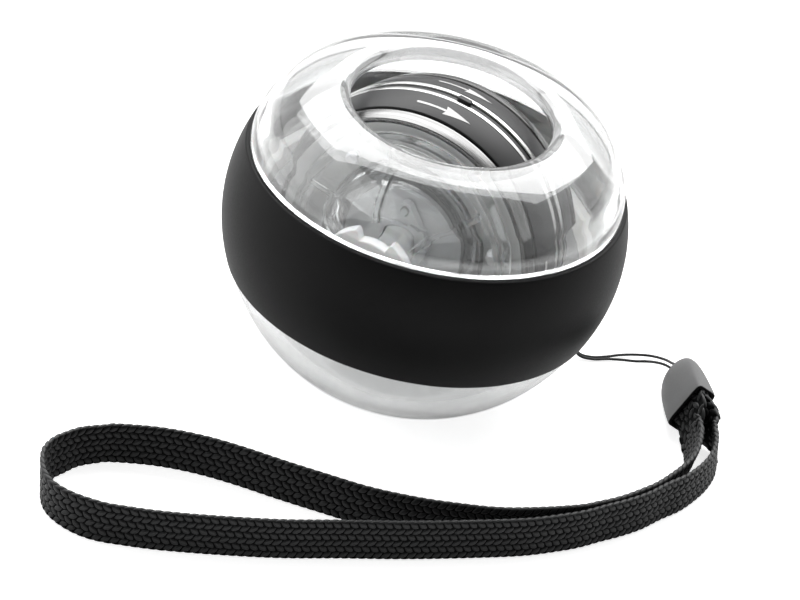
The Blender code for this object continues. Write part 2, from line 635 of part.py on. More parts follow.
def start_cover(clear, spin_axis):
    """Clear ribbed cover with a thick rim, screwed to the start half."""
    base = COVER_SEAT + SEAT_GAP
    rim_top = base + COVER_RIM_HEIGHT
    rim_inner = COVER_RADIUS - COVER_RIM_WALL
    flange_top = base + COVER_FLANGE_THICKNESS
    neck = SLEEVE_RADIUS + SEAT_GAP
    neck_angle = math.degrees(math.acos(COVER_NECK_RADIUS / COVER_DOME_RADIUS))
    dome = ellipse_arc((0.0, flange_top), COVER_DOME_RADIUS, COVER_DOME_RISE, 0, neck_angle, 5)
    neck_top = dome[-1][1] + 0.0004
    under = ellipse_arc((0.0, base), COVER_DOME_RADIUS - COVER_WALL, COVER_DOME_RISE - 0.0002, neck_angle, 0, 5)
    outline = [
        (COVER_RADIUS, base), (COVER_RADIUS, rim_top - 0.0004), (COVER_RADIUS - 0.0004, rim_top),
        (rim_inner + 0.0004, rim_top), (rim_inner, rim_top - 0.0004), (rim_inner, flange_top),
    ] + dome + [(COVER_NECK_RADIUS - 0.0003, neck_top), (neck, neck_top), (neck, under[0][1])] + under
    cover = add_object("start_cover", turned(outline, FLYWHEEL_FACETS), clear, parent=spin_axis)
    for i in range(COVER_RIBS):
        turn = COVER_RIB_TURN + math.tau * i / COVER_RIBS
        combine(cover, cover_rib(f"cover_rib_{i + 1}", turn, dome, rim_inner, rim_top, clear, spin_axis), "UNION")
    for i, place in enumerate(screw_places()):
        drill = cylinder(SCREW_SHANK_RADIUS + SEAT_GAP, base - DRILL_PAST, flange_top + DRILL_PAST, 10, place)
        combine(cover, add_object(f"cover_drill_{i + 1}", drill, clear, parent=spin_axis), "DIFFERENCE")
    return cover


def cover_rib(name, turn, dome, rim_inner, rim_top, clear, spin_axis):
    """Thin fin that runs from the cover's neck over its dome to its rim."""
    rise = 0.0012
    crest = [(radius + 0.0004, along + rise) for radius, along in dome[1:5]]
    profile = [(rim_inner + 0.0008, rim_top - 0.0012), (rim_inner + 0.0003, rim_top + 0.0003)] + crest
    profile += [(radius - 0.0006, along - 0.0006) for radius, along in reversed(dome[:5])]
    fin = bmesh.new()
    half = COVER_RIB_THICKNESS / 2
    face = fin.faces.new([fin.verts.new((radius, -half, along)) for radius, along in profile])
    grown = bmesh.ops.extrude_face_region(fin, geom=[face])
    moved = [item for item in grown["geom"] if isinstance(item, bmesh.types.BMVert)]
    bmesh.ops.translate(fin, verts=moved, vec=(0, 2 * half, 0))
    return add_object(name, fin, clear, parent=spin_axis, turn=turn)


def cover_screw(number, place, steel, spin_axis):
    """Small pan-head screw that holds the cover."""
    head = COVER_SEAT + SEAT_GAP + COVER_FLANGE_THICKNESS + SEAT_GAP
    tip = COVER_SEAT - SCREW_LENGTH + SEAT_GAP
    outline = [
        (0.0, tip), (SCREW_SHANK_RADIUS, tip), (SCREW_SHANK_RADIUS, head), (SCREW_HEAD_RADIUS, head),
        (SCREW_HEAD_RADIUS, head + 0.5 * SCREW_HEAD_HEIGHT), (0.6 * SCREW_HEAD_RADIUS, head + SCREW_HEAD_HEIGHT),
        (0.0, head + SCREW_HEAD_HEIGHT),
    ]
    return add_object(f"cover_screw_{number}", turned(outline, 10), steel, parent=spin_axis,
                      location=(*place, 0.0))


def mainspring(steel, spin_axis):
    """Flat spiral spring, one strip whose centre line is an even spiral."""
    steps = SPRING_TURNS * SPRING_STEPS
    pitch = (SPRING_OUTER - SPRING_INNER) / SPRING_TURNS
    outer = []
    inner = []
    for i in range(steps + 1):
        angle = math.tau * i / SPRING_STEPS
        radius = SPRING_OUTER - pitch * i / SPRING_STEPS
        outer.append(polar(radius + SPRING_THICKNESS / 2, angle))
        inner.append(polar(radius - SPRING_THICKNESS / 2, angle))
    gap = min(math.dist(a, b) for a, b in zip(inner, outer[SPRING_STEPS:]))
    print(f"mainspring: {SPRING_TURNS} turns, least gap to itself {gap * 1000:.2f} mm")
    base = WELL_FLOOR + SEAT_GAP
    return add_object("mainspring", prism(outer + inner[::-1], base, base + SPRING_HEIGHT), steel,
                      parent=spin_axis)


def spring_anchor(steel, spin_axis):
    """Pin in the well's floor that the spring's outer end bears on."""
    base = WELL_FLOOR + SEAT_GAP
    angle = -(ANCHOR_RADIUS + SEAT_GAP) / SPRING_OUTER
    place = polar(SPRING_OUTER - 0.0001, angle)
    return add_object("spring_anchor", cylinder(ANCHOR_RADIUS, base, base + SPRING_HEIGHT, 12), steel,
                      parent=spin_axis, location=(*place, 0.0))


def spring_arbor(steel, spin_axis):
    """Hub inside the spring, with the flange and the two pins that carry the pawls."""
    bore = AXLE_RADIUS + RUN_GAP
    base = WELL_FLOOR + SEAT_GAP
    top = ARBOR_FLANGE_BASE + ARBOR_FLANGE_THICKNESS
    outline = [
        (bore, base), (ARBOR_RADIUS, base), (ARBOR_RADIUS, ARBOR_FLANGE_BASE),
        (ARBOR_FLANGE_RADIUS, ARBOR_FLANGE_BASE), (ARBOR_FLANGE_RADIUS, top), (bore, top),
    ]
    arbor = add_object("spring_arbor", turned(outline, 28), steel, parent=spin_axis)
    for i in range(2):
        place = pawl_pivot(i)
        pin = cylinder(PAWL_PIN_RADIUS, top - 0.0004, top + SEAT_GAP + PAWL_THICKNESS + 0.0003, 12, place)
        combine(arbor, add_object(f"pawl_pin_{i + 1}", pin, steel, parent=spin_axis), "UNION")
    return arbor


def pawl_pivot(index):
    """Centre of one pawl's pin in the rotor's own plane."""
    return polar(PAWL_PIVOT_RADIUS, math.pi / 2 + math.pi * index)


def pawl(index, steel, spin_axis):
    """Pawl on its pin, swung clear of the ratchet wheel as when the rotor runs."""
    pivot = Vector(pawl_pivot(index))
    tip = Vector(polar(PAWL_TIP_RADIUS, math.pi / 2 + math.pi * index - PAWL_TIP_TURN))
    along = (tip - pivot).normalized()
    across = Vector((-along.y, along.x))
    reach = (tip - pivot).length
    outline = []
    for i in range(9):
        angle = math.radians(60 + 240 * i / 8)
        outline.append(along * (PAWL_EYE_RADIUS * math.cos(angle)) + across * (PAWL_EYE_RADIUS * math.sin(angle)))
    outline.append(along * (0.55 * reach) - across * 0.0002)
    outline.append(along * reach - across * 0.0003)
    outline.append(along * reach + across * 0.0003)
    outline.append(along * (0.55 * reach) + across * 0.0009)
    base = ARBOR_FLANGE_BASE + ARBOR_FLANGE_THICKNESS + SEAT_GAP
    body = add_object(f"pawl_{index + 1}", prism(outline, base, base + PAWL_THICKNESS), steel, parent=spin_axis,
                      location=(*pivot, 0.0))
    drill = cylinder(PAWL_PIN_RADIUS + RUN_GAP, base - DRILL_PAST, base + PAWL_THICKNESS + DRILL_PAST, 12)
    combine(body, add_object(f"pawl_drill_{index + 1}", drill, steel, parent=spin_axis, location=(*pivot, 0.0)),
            "DIFFERENCE")
    return body


def ratchet_wheel(steel, spin_axis):
    """Saw-toothed wheel on the start disc's sleeve."""
    outline = []
    pitch = math.tau / RATCHET_TEETH
    for i in range(RATCHET_TEETH):
        start = RATCHET_TURN + pitch * i
        outline.append(polar(RATCHET_ROOT, start))
        outline.append(polar((RATCHET_ROOT + RATCHET_TIP) / 2, start + 0.46 * pitch))
        outline.append(polar(RATCHET_TIP, start + 0.92 * pitch))
    base = ARBOR_FLANGE_BASE + ARBOR_FLANGE_THICKNESS + SEAT_GAP
    body = ring_prism(outline, SLEEVE_RADIUS + SEAT_GAP, base, base + PAWL_THICKNESS)
    return add_object("ratchet_wheel", body, steel, parent=spin_axis)


def start_disc(white, spin_axis):
    """White notched disc on its sleeve."""
    outline = []
    lobe = math.tau / DISC_NOTCHES - DISC_NOTCH_ANGLE
    for i in range(DISC_NOTCHES):
        middle = math.pi / 4 + math.tau * i / DISC_NOTCHES
        outline.append(polar(DISC_NOTCH_RADIUS, middle - lobe / 2))
        outline.append(polar(DISC_RADIUS - 0.0006, middle - lobe / 2 + 0.02))
        outline += [polar(DISC_RADIUS, middle + lobe * share) for share in (-0.42, -0.20, 0.0, 0.20, 0.42)]
        outline.append(polar(DISC_RADIUS - 0.0006, middle + lobe / 2 - 0.02))
        outline.append(polar(DISC_NOTCH_RADIUS, middle + lobe / 2))
        outline += [polar(DISC_NOTCH_RADIUS, middle + lobe / 2 + DISC_NOTCH_ANGLE * share) for share in (0.33, 0.67)]
    bore = AXLE_RADIUS + RUN_GAP
    plate = ring_prism(outline, SLEEVE_RADIUS - 0.0006, DISC_BASE, DISC_BASE + DISC_THICKNESS)
    disc = add_object("start_disc", plate, white, parent=spin_axis)
    base = ARBOR_FLANGE_BASE + ARBOR_FLANGE_THICKNESS + SEAT_GAP
    top = DISC_BASE + DISC_THICKNESS - 0.0002
    sleeve = turned([(bore, base), (SLEEVE_RADIUS, base), (SLEEVE_RADIUS, top), (bore, top)], 24)
    combine(disc, add_object("disc_sleeve", sleeve, white, parent=spin_axis), "UNION")
    return disc


def retaining_clip(steel, spin_axis):
    """Open spring clip in the axle's groove."""
    low = DISC_BASE + DISC_THICKNESS + SEAT_GAP
    bore = TIP_RADIUS + RUN_GAP
    opening = math.radians(60.0)
    steps = 10
    outer = []
    inner = []
    for i in range(steps + 1):
        angle = opening / 2 + (math.tau - opening) * i / steps
        outer.append(polar(CLIP_RADIUS, angle))
        inner.append(polar(bore, angle))
    return add_object("retaining_clip", prism(outer + inner[::-1], low, low + CLIP_THICKNESS), steel,
                      parent=spin_axis)


# Lanyard


def hole_direction():
    """Outward direction of the lanyard holes, square to the lower shell."""
    level = math.sqrt(LOWER_SHELL_RADIUS ** 2 - HOLE_DROP ** 2)
    return Vector((level * math.cos(HOLE_AZIMUTH), level * math.sin(HOLE_AZIMUTH), -HOLE_DROP)).normalized()


def lanyard_shift():
    """How far the lanyard moves from its drawn place, to stay at the shell's holes."""
    mouth = hole_direction() * LOWER_SHELL_RADIUS
    return Vector((mouth.x, mouth.y, 0.0)) - LANYARD_ORIGIN


def cap_mouth():
    """Middle of the cap's mouth."""
    return CAP_MOUTH + lanyard_shift()


def string_hole_places():
    """Mouths of the two lanyard holes, with the side that each lies on."""
    centre = hole_direction() * LOWER_SHELL_RADIUS + Vector((0, 0, EQUATOR_HEIGHT))
    sideways = Vector((-math.sin(HOLE_AZIMUTH), math.cos(HOLE_AZIMUTH), 0.0))
    return [(centre + sideways * (HOLE_SPACING / 2 * side), side) for side in (-1, 1)]


def string_strand(side):
    """One strand's route from the shell's hole to the cap's crown."""
    spread = STRING_SPACING / 2
    lane = [
        (0.0283, 0.0154, 0.0098, 1.80), (0.0296, 0.0154, 0.0066, 1.20), (0.0306, 0.0151, 0.0034, 0.75),
        (0.0322, 0.0151, 0.0010, 0.55), (0.0347, 0.0158, 0.0004, 0.52), (0.0372, 0.0170, 0.0004, 0.60),
        (0.0398, 0.0183, 0.0004, 1.25), (0.0423, 0.0191, 0.0005, 1.75), (0.0446, 0.0190, 0.0011, 1.85),
        (0.0466, 0.0178, 0.0020, 1.75), (0.0481, 0.0162, 0.0028, 1.35),
    ]
    route = []
    for i, (x, y, z, share) in enumerate(lane):
        ahead = lane[min(i + 1, len(lane) - 1)]
        behind = lane[max(i - 1, 0)]
        across = Vector((behind[1] - ahead[1], ahead[0] - behind[0], 0.0)).normalized()
        offset = 2 * spread * share * side
        if i == 0:
            across = Vector((-math.sin(HOLE_AZIMUTH), math.cos(HOLE_AZIMUTH), 0.0))
            offset = HOLE_SPACING / 2 * 0.8 * side
        route.append(Vector((x, y, z)) + lanyard_shift() + across * offset)
    wide, _, ahead = cap_frame()
    crown = cap_mouth() + ahead * CAP_LENGTH
    for depth in (0.0002, -0.0018):
        route.append(crown + ahead * depth + wide * (0.00055 * side))
    return route


def string_loop(black):
    """Thin string through the two holes, laid over the floor and into the cap."""
    (near, _), (far, _) = string_hole_places()
    inward = -hole_direction()
    first = string_strand(-1)
    second = string_strand(1)
    wall = SHELL_WALL
    middle = (near + far) / 2 + inward * (wall + 0.0019)
    route = first[::-1] + [near - inward * 0.0004, near + inward * (wall * 0.75)]
    route += [near.lerp(middle, 0.35) + inward * (wall * 0.62), middle, far.lerp(middle, 0.35) + inward * (wall * 0.62)]
    route += [far + inward * (wall * 0.75), far - inward * 0.0004] + second
    points, length = smooth_route(route, 66)
    print(f"string_loop: length {length * 1000:.1f} mm")
    return cord("string_loop", points, black, STRING_DIAMETER / 2)


def cap_frame():
    """Axes of the cap: its wide side, its thin side and the way to its crown."""
    ahead = CAP_DIRECTION.normalized()
    level = Vector((ahead.y, -ahead.x, 0.0)).normalized()
    upward = level.cross(ahead)
    wide = upward * math.cos(CAP_LEAN) + level * math.sin(CAP_LEAN)
    thin = level * math.cos(CAP_LEAN) - upward * math.sin(CAP_LEAN)
    return wide, thin, ahead


def cap_ring(share, wall=0.0, shortening=0.0):
    """One ring of the cap, as its place along the cap, its half sizes and its squareness."""
    size = (1.0 - share ** CAP_FULLNESS) ** (1.0 / CAP_FULLNESS)
    along = share * (CAP_LENGTH - shortening)
    squareness = CAP_MOUTH_SQUARENESS + (1.0 - CAP_MOUTH_SQUARENESS) * share ** 1.5
    return along, CAP_WIDTH / 2 * size - wall, CAP_THICKNESS / 2 * (0.25 + 0.75 * size) - wall, squareness


def lanyard_cap(grey):
    """Flattened bell with a slot in its crown for the string."""
    wide, thin, ahead = cap_frame()
    shares = (0.0, 0.28, 0.52, 0.70, 0.83, 0.92, 0.968, 0.988)
    rings = [cap_ring(share) for share in shares]
    rings.append((rings[-1][0], CAP_HOLE_WIDE, CAP_HOLE_THIN, 1.0))
    rings.append((rings[-1][0] - CAP_CROWN_WALL, CAP_HOLE_WIDE, CAP_HOLE_THIN, 1.0))
    rings += [cap_ring(share, CAP_WALL, CAP_CROWN_WALL + 0.0003) for share in reversed(shares[:-2])]
    body = bmesh.new()
    mouth = cap_mouth()
    sides = 24
    loops = []
    for along, half_wide, half_thin, squareness in rings:
        loop = []
        for i in range(sides):
            angle = math.tau * i / sides
            x = math.copysign(abs(math.cos(angle)) ** squareness, math.cos(angle)) * half_wide
            y = math.copysign(abs(math.sin(angle)) ** squareness, math.sin(angle)) * half_thin
            loop.append(body.verts.new(mouth + wide * x + thin * y + ahead * along))
        loops.append(loop)
    for a, b in zip(loops, loops[1:] + loops[:1]):
        for i in range(sides):
            j = (i + 1) % sides
            body.faces.new((a[i], a[j], b[j], b[i]))
    return add_object("lanyard_cap", body, grey)


def string_knot(black):
    """Knot that keeps the string's ends in the cap."""
    knot = bmesh.new()
    centre = cap_mouth() + cap_frame()[2] * (CAP_LENGTH - 0.0018 - SEAT_GAP - KNOT_RADIUS)
    bmesh.ops.create_icosphere(knot, subdivisions=2, radius=KNOT_RADIUS)
    return add_object("string_knot", knot, black, location=centre)


def strap_route():
    """Centre line of the strap, from the cap round the loop and back into the cap."""
    level = STRAP_WIDTH / 2 + 0.00005
    _, thin, ahead = cap_frame()
    layer = thin * (STRAP_LAYER_SPACING / 2)
    inside = cap_mouth() + ahead * 0.0026
    mouth = cap_mouth() - ahead * 0.0010
    shift = lanyard_shift()
    outer_run = [
        (0.0578, -0.0047), (0.0586, -0.0088), (0.0586, -0.0130), (0.0574, -0.0181), (0.0546, -0.0240),
        (0.0512, -0.0286), (0.0482, -0.0329), (0.0450, -0.0364), (0.0419, -0.0393), (0.0387, -0.0424),
        (0.0354, -0.0450), (0.0291, -0.0492), (0.0193, -0.0541), (0.0095, -0.0586), (-0.0003, -0.0626),
        (-0.0100, -0.0667), (-0.0197, -0.0700), (-0.0294, -0.0728), (-0.0360, -0.0741), (-0.0404, -0.0746),
        (-0.0447, -0.0739), (-0.0481, -0.0722), (-0.0501, -0.0699), (-0.0513, -0.0666), (-0.0516, -0.0632),
    ]
    inner_run = [
        (-0.0507, -0.0601), (-0.0490, -0.0575), (-0.0470, -0.0550), (-0.0441, -0.0529), (-0.0415, -0.0514),
        (-0.0345, -0.0494), (-0.0275, -0.0487), (-0.0205, -0.0491), (-0.0133, -0.0501), (-0.0061, -0.0509),
        (0.0020, -0.0516), (0.0103, -0.0511), (0.0171, -0.0499), (0.0238, -0.0482), (0.0304, -0.0453),
        (0.0371, -0.0416), (0.0403, -0.0391), (0.0436, -0.0362), (0.0468, -0.0326), (0.0499, -0.0285),
        (0.0526, -0.0233), (0.0543, -0.0180), (0.0549, -0.0130), (0.0547, -0.0085), (0.0538, -0.0047),
    ]
    start = [inside + layer, mouth + layer]
    end = [mouth - layer, inside - layer]
    return start + [Vector((x, y, level)) + shift for x, y in outer_run + inner_run] + end


def eased(share):
    """Ease a share in and out, and hold it between 0 and 1."""
    share = min(1.0, max(0.0, share))
    return share * share * (3 - 2 * share)


def strap_lean(reach, settled, settle, fade):
    """Lean of one of the strap's ends: the cap's own at the mouth, then the run's, then none."""
    into = eased((reach - settle[0]) / settle[1])
    out = eased((reach - fade[0]) / fade[1])
    return (CAP_LEAN * (1 - into) + settled * into) * (1 - out)


def strap_tilt(reach, length):
    """Turn of the strap about its own line, from upright."""
    turn = STRAP_TURN_LEAN * eased(1.6 - abs(reach - STRAP_TURN_PLACE * length) / STRAP_TURN_SPREAD)
    if reach < length / 2:
        return -strap_lean(reach, STRAP_OUTER_LEAN, STRAP_OUTER_SETTLE, STRAP_OUTER_FADE) - turn
    return strap_lean(length - reach, STRAP_INNER_LEAN, STRAP_INNER_SETTLE, STRAP_INNER_FADE) - turn


def strap_loop(black):
    """Flat braided strap that stands on its edge."""
    route, length = smooth_route(strap_route(), STRAP_POINTS)
    print(f"strap_loop: length {length * 1000:.1f} mm")
    spacing = length / (STRAP_POINTS - 1)
    tilts = [strap_tilt(i * spacing, length) for i in range(STRAP_POINTS)]
    edge = STRAP_THICKNESS / 2
    return cord("strap_loop", route, black, edge, extrude=STRAP_WIDTH / 2 - edge, tilts=tilts, resolution=1)


def main():
    clear_scene()
    clear = finish("clear_polycarbonate", (0.92, 0.93, 0.94), 0.05, alpha=0.35, transmission=0.9)
    rubber = finish("black_rubber", (0.025, 0.025, 0.027), 0.6)
    zinc = finish("turned_zinc", (0.72, 0.72, 0.72), 0.25, metallic=1.0)
    steel = finish("steel", (0.60, 0.60, 0.62), 0.3, metallic=1.0)
    bronze = finish("bronze", (0.55, 0.40, 0.22), 0.4, metallic=1.0)
    nylon = finish("natural_nylon", (0.80, 0.80, 0.78), 0.5)
    white = finish("white_nylon", (0.85, 0.85, 0.84), 0.45)
    paint = finish("dark_grey_band", (0.09, 0.09, 0.09), 0.5)
    cap_grey = finish("grey_cap", (0.18, 0.18, 0.18), 0.55)
    braid = finish("black_braid", (0.02, 0.02, 0.022), 0.8)

    ring_axis = empty("precession_axis", (0, 0, EQUATOR_HEIGHT), (0, 0, -CARRIER_TURN))
    spin_axis = empty("spin_axis", (0, 0, 0), (math.pi / 2, 0, 0), parent=ring_axis)
    bpy.context.view_layer.update()

    upper_shell(clear)
    lower_shell(clear)
    grip_band(rubber)
    carrier_ring(nylon, ring_axis, spin_axis)
    axle(steel, spin_axis)
    tip_bush("tip_bush_start", 1, bronze, spin_axis)
    tip_bush("tip_bush_plain", -1, bronze, spin_axis)
    flywheel_start_half(zinc, spin_axis)
    flywheel_plain_half(zinc, spin_axis)
    groove_ring(rubber, spin_axis)
    groove_plug(rubber, spin_axis)
    arrow_band("arrow_band_start", 1, paint, spin_axis)
    arrow_band("arrow_band_plain", -1, paint, spin_axis)
    plain_spacer(nylon, spin_axis)
    start_cover(clear, spin_axis)
    for i, place in enumerate(screw_places()):
        cover_screw(i + 1, place, steel, spin_axis)
    mainspring(steel, spin_axis)
    spring_anchor(steel, spin_axis)
    spring_arbor(steel, spin_axis)
    pawl(0, steel, spin_axis)
    pawl(1, steel, spin_axis)
    ratchet_wheel(steel, spin_axis)
    start_disc(white, spin_axis)
    retaining_clip(steel, spin_axis)
    string_loop(braid)
    string_knot(braid)
    lanyard_cap(cap_grey)
    strap_loop(braid)


main()
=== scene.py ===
"""Looks of a gyroscopic wrist ball with a wind-up start and a braided wrist strap.

All sizes are in metres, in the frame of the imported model. The rotor's pieces are drawn about
local Z and then laid along the axle.
"""

import math

import bmesh
import bpy
from bmesh.types import BMEdge, BMFace, BMVert
from bpy.props import FloatProperty, FloatVectorProperty, IntProperty, PointerProperty
from mathutils import Euler, Matrix, Vector


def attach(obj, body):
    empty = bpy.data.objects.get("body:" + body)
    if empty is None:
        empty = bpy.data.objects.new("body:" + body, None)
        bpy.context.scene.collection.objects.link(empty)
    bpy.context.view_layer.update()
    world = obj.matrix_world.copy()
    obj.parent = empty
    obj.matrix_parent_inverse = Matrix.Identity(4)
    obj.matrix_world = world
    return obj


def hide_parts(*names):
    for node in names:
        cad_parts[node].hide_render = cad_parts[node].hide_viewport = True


bl_info = {
    "name": "Wrist Ball",
    "version": (1, 0, 0),
    "blender": (4, 5, 0),
    "location": "View3D > Sidebar > Wrist Ball",
    "description": "Builds the pieces and finishes of a gyroscopic wrist ball",
    "category": "Add Mesh",
}

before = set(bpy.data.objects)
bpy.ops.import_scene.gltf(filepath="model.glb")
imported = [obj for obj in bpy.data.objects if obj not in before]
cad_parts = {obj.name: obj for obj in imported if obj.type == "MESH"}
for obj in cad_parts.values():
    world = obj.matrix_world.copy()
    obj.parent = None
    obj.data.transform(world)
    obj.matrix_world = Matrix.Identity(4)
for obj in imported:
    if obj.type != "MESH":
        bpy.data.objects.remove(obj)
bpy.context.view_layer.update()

MM = 0.001
EQUATOR = Vector((0.0, 0.0, 29.9 * MM))
CARRIER_TURN = math.radians(18.5)
ROTOR_TURN = Euler((math.pi / 2, 0.0, -CARRIER_TURN))
ROTOR_PLACE = Matrix.Translation(EQUATOR) @ ROTOR_TURN.to_matrix().to_4x4()
BALL_PLACE = Matrix.Translation(EQUATOR)

# Seat of one piece in another, as in the solids
SEAT_GAP = 0.3 * MM

# How finely the pieces are made
MERGE_DISTANCE = 1e-7
LATHE_STEPS = 192
COVER_STEPS = 144
KNOT_STEPS = 24
STRAP_POINTS = 240
BRAID_POINTS = 1200
STRING_POINTS = 200
OVERCUT = 1.0 * MM

# Shells, with heights over the equator
RACE_RECESS = 31.9 * MM
RACE_RECESS_HEIGHT = 1.4 * MM
RACE_BORE = 30.9 * MM
RACE_LEDGE_HEIGHT = 2.8 * MM
RACE_LEDGE_DEPTH = 1.3 * MM
RACE_WALL_HEIGHT = 1.6 * MM
DOME_INSIDE_REACH = 12.2 * MM
DOME_INSIDE_RISE = 11.9 * MM
DOME_INSIDE_HEIGHT = 9.0 * MM
DOME_FOOT_RADIUS = 30.4 * MM
DOME_FOOT_HEIGHT = 16.9 * MM
DOME_FOOT_SINE = 0.30
COLLAR_RADIUS = 32.9 * MM
COLLAR_INSET = 2.5 * MM
THROAT_MARGIN = 0.5 * MM
THROAT_EDGE = 21.3 * MM
LIP_SHOULDER = 22.2 * MM
# Height from which the throat's inner wall carries painted shade
GREY_LIP_START = 21.2 * MM
BOWL_INSIDE_TOP = -6.0 * MM
BASE_EDGE = 0.35 * MM
BASE_EDGE_WIDTH = 0.9 * MM
BASE_EDGE_HEIGHT = 0.09 * MM
BAND_SWELL = 0.3 * MM
BAND_CORNER = 0.55 * MM

# Rotor details, along the axle from its middle
AXLE_RADIUS = 1.5 * MM
GROOVE_FLOOR = 22.9 * MM
LABEL_THICKNESS = 0.4 * MM
FLANGE_RADIUS = 24.1 * MM
FLANGE_DROP = 0.7 * MM
FLANGE_START = 7.5 * MM
FLANGE_END = 9.9 * MM
FLANGE_FACE = 0.8 * MM
DISH_DEPTH = 1.4 * MM
DISH_RADIUS = 22.6 * MM
GUTTER_DEPTH = 2.0 * MM
COVER_SEAT = 8.0 * MM
COVER_RADIUS = 20.0 * MM
WELL_RADIUS = 14.8 * MM
WELL_FLOOR = 2.6 * MM
DISH_EDGE_WIDTH = 0.3 * MM
DISH_EDGE_DROP = 0.4 * MM
COVER_SIDE_GAP = 0.4 * MM
METAL_ROUND = 0.18 * MM
SCREW_CIRCLE = 17.0 * MM
SCREW_RADIUS = 0.8 * MM
SCREW_DEPTH = 3.0 * MM
SCREW_TURN = math.radians(15.0)
ARROW_RELIEF = 0.05 * MM

# Lanyard
HOLE_AZIMUTH = math.radians(29.0)
HOLE_HEIGHT = 12.4 * MM
HOLE_SPACING = 3.4 * MM
HOLE_RADIUS = 0.8 * MM
HOLE_DRILL_DEPTH = 3.6 * MM
HOLE_DRILL_RISE = 2.0 * MM
STRING_SPACING = 0.6 * MM
CAP_MOUTH = Vector((0.0532, -0.0008, 0.0057))
CAP_DIRECTION = Vector((-0.240, 0.960, -0.144))
CAP_LEAN = math.radians(27.6)
CAP_FULLNESS = 4.3
CAP_MOUTH_SQUARENESS = 0.28
CAP_WALL = 0.5 * MM
CAP_CROWN_WALL = 0.5 * MM
CAP_CROWN_DROP = 0.9 * MM
CAP_EYE = (1.25 * MM, 0.65 * MM)
CAP_LIP = 0.12 * MM
EYE_SPREAD = 0.55 * MM
STRAP_IN_CAP = 2.6 * MM
STRAP_OUT_OF_CAP = 1.0 * MM
STRAP_FLOOR_GAP = 0.05 * MM
STRAP_LAYER_SPACING = 1.3 * MM
STRAP_OUTER_LEAN = math.radians(-14.0)
STRAP_OUTER_SETTLE = (3.6 * MM, 6.0 * MM)
STRAP_OUTER_FADE = (7.0 * MM, 19.0 * MM)
STRAP_INNER_LEAN = math.radians(9.0)
STRAP_INNER_SETTLE = (3.0 * MM, 4.5 * MM)
STRAP_INNER_FADE = (18.0 * MM, 12.0 * MM)
STRAP_TURN_LEAN = math.radians(9.5)
STRAP_TURN_PLACE = 0.510
STRAP_TURN_SPREAD = 10.0 * MM
STRAP_CORE_THINNING = 0.52 * MM
STRAP_CORE_NARROWING = 0.14 * MM
BRAID_ROWS = 6
BRAID_EDGE_HEIGHT = 0.30 * MM
BRAID_EDGE_LIFT = 0.09 * MM
BRAID_END_GAP = 0.2 * MM
BRAID_RELIEF = 0.25 * MM
BRAID_SLANT = math.radians(34.0)
BRAID_EDGE_SLANT = math.radians(14.0)
BRAID_FLOOR_GAP = 0.02 * MM

# Camera, fitted to the photograph
CAMERA_PLACE = Vector((0.0, -0.8923977, 0.5831866))
CAMERA_RIGHT = Vector((0.9704641, 0.1306436, 0.2028096))
CAMERA_UP = Vector((-0.2412443, 0.5226091, 0.8177291))
CAMERA_BACK = Vector((0.0008409, -0.8425034, 0.5386903))
CAMERA_LENS = 273.24


def length(label, text, size):
    """A size that the sidebar shows in the scene's units."""
    return FloatProperty(name=label, description=text, default=size * MM, min=0.0, unit="LENGTH", precision=5)


def colour(label, text, default):
    """A colour that the sidebar shows as a swatch."""
    return FloatVectorProperty(name=label, description=text, default=default, size=3, min=0.0, max=1.0,
                               subtype="COLOR")


class BallSizes(bpy.types.PropertyGroup):
    """Sizes of the shells and the grip band, written in millimetres."""

    radius: length("Band radius", "Radius of the ball at the grip band", 35.0)
    band_thickness: length("Band thickness", "Thickness of the grip band", 1.6)
    band_top: length("Band top", "Height of the band's top edge over the equator", 10.0)
    band_drop: length("Band drop", "Depth of the band's bottom edge under the equator", 12.4)
    bowl_radius: length("Bowl radius", "Radius of the clear bowl", 34.6)
    wall: length("Bowl wall", "Wall of the clear bowl", 3.0)
    floor: length("Floor", "Thickness of the bowl's floor", 2.6)
    throat: length("Throat radius", "Radius of the thumb opening", 17.7)
    lip_crest: length("Lip crest", "Radius of the lip's highest circle", 20.3)
    lip_height: length("Lip height", "Height of the lip over the equator", 23.7)


class RotorSizes(bpy.types.PropertyGroup):
    """Sizes of the flywheel and its printed bands, written in millimetres."""

    crown: length("Crown radius", "Largest radius of the flywheel", 25.3)
    crown_half: length("Crown half width", "Half the width of the bare metal crown", 1.7)
    groove_half: length("Groove half width", "Half the width of the middle groove", 0.7)
    band_edge: length("Printed band edge", "Distance of the band's outer edge from the middle", 6.8)
    band_drop: length("Printed band drop", "How much smaller the band is at its outer edge", 1.1)
    arrows: IntProperty(name="Arrows", description="Arrows printed round each band", default=4, min=1, max=12)


class LanyardSizes(bpy.types.PropertyGroup):
    """Sizes of the string, the cap and the strap, written in millimetres."""

    string: length("String", "Diameter of the string", 0.5)
    cap_length: length("Cap length", "Length of the cap", 15.9)
    cap_width: length("Cap width", "Width of the cap at its mouth", 9.3)
    cap_thickness: length("Cap thickness", "Thickness of the cap at its mouth", 4.2)
    strap_width: length("Strap width", "Width of the braided strap", 8.0)
    strap_thickness: length("Strap thickness", "Thickness of the braided strap", 0.9)
    braid_pitch: length("Braid pitch", "Distance between yarns along the strap", 1.5)


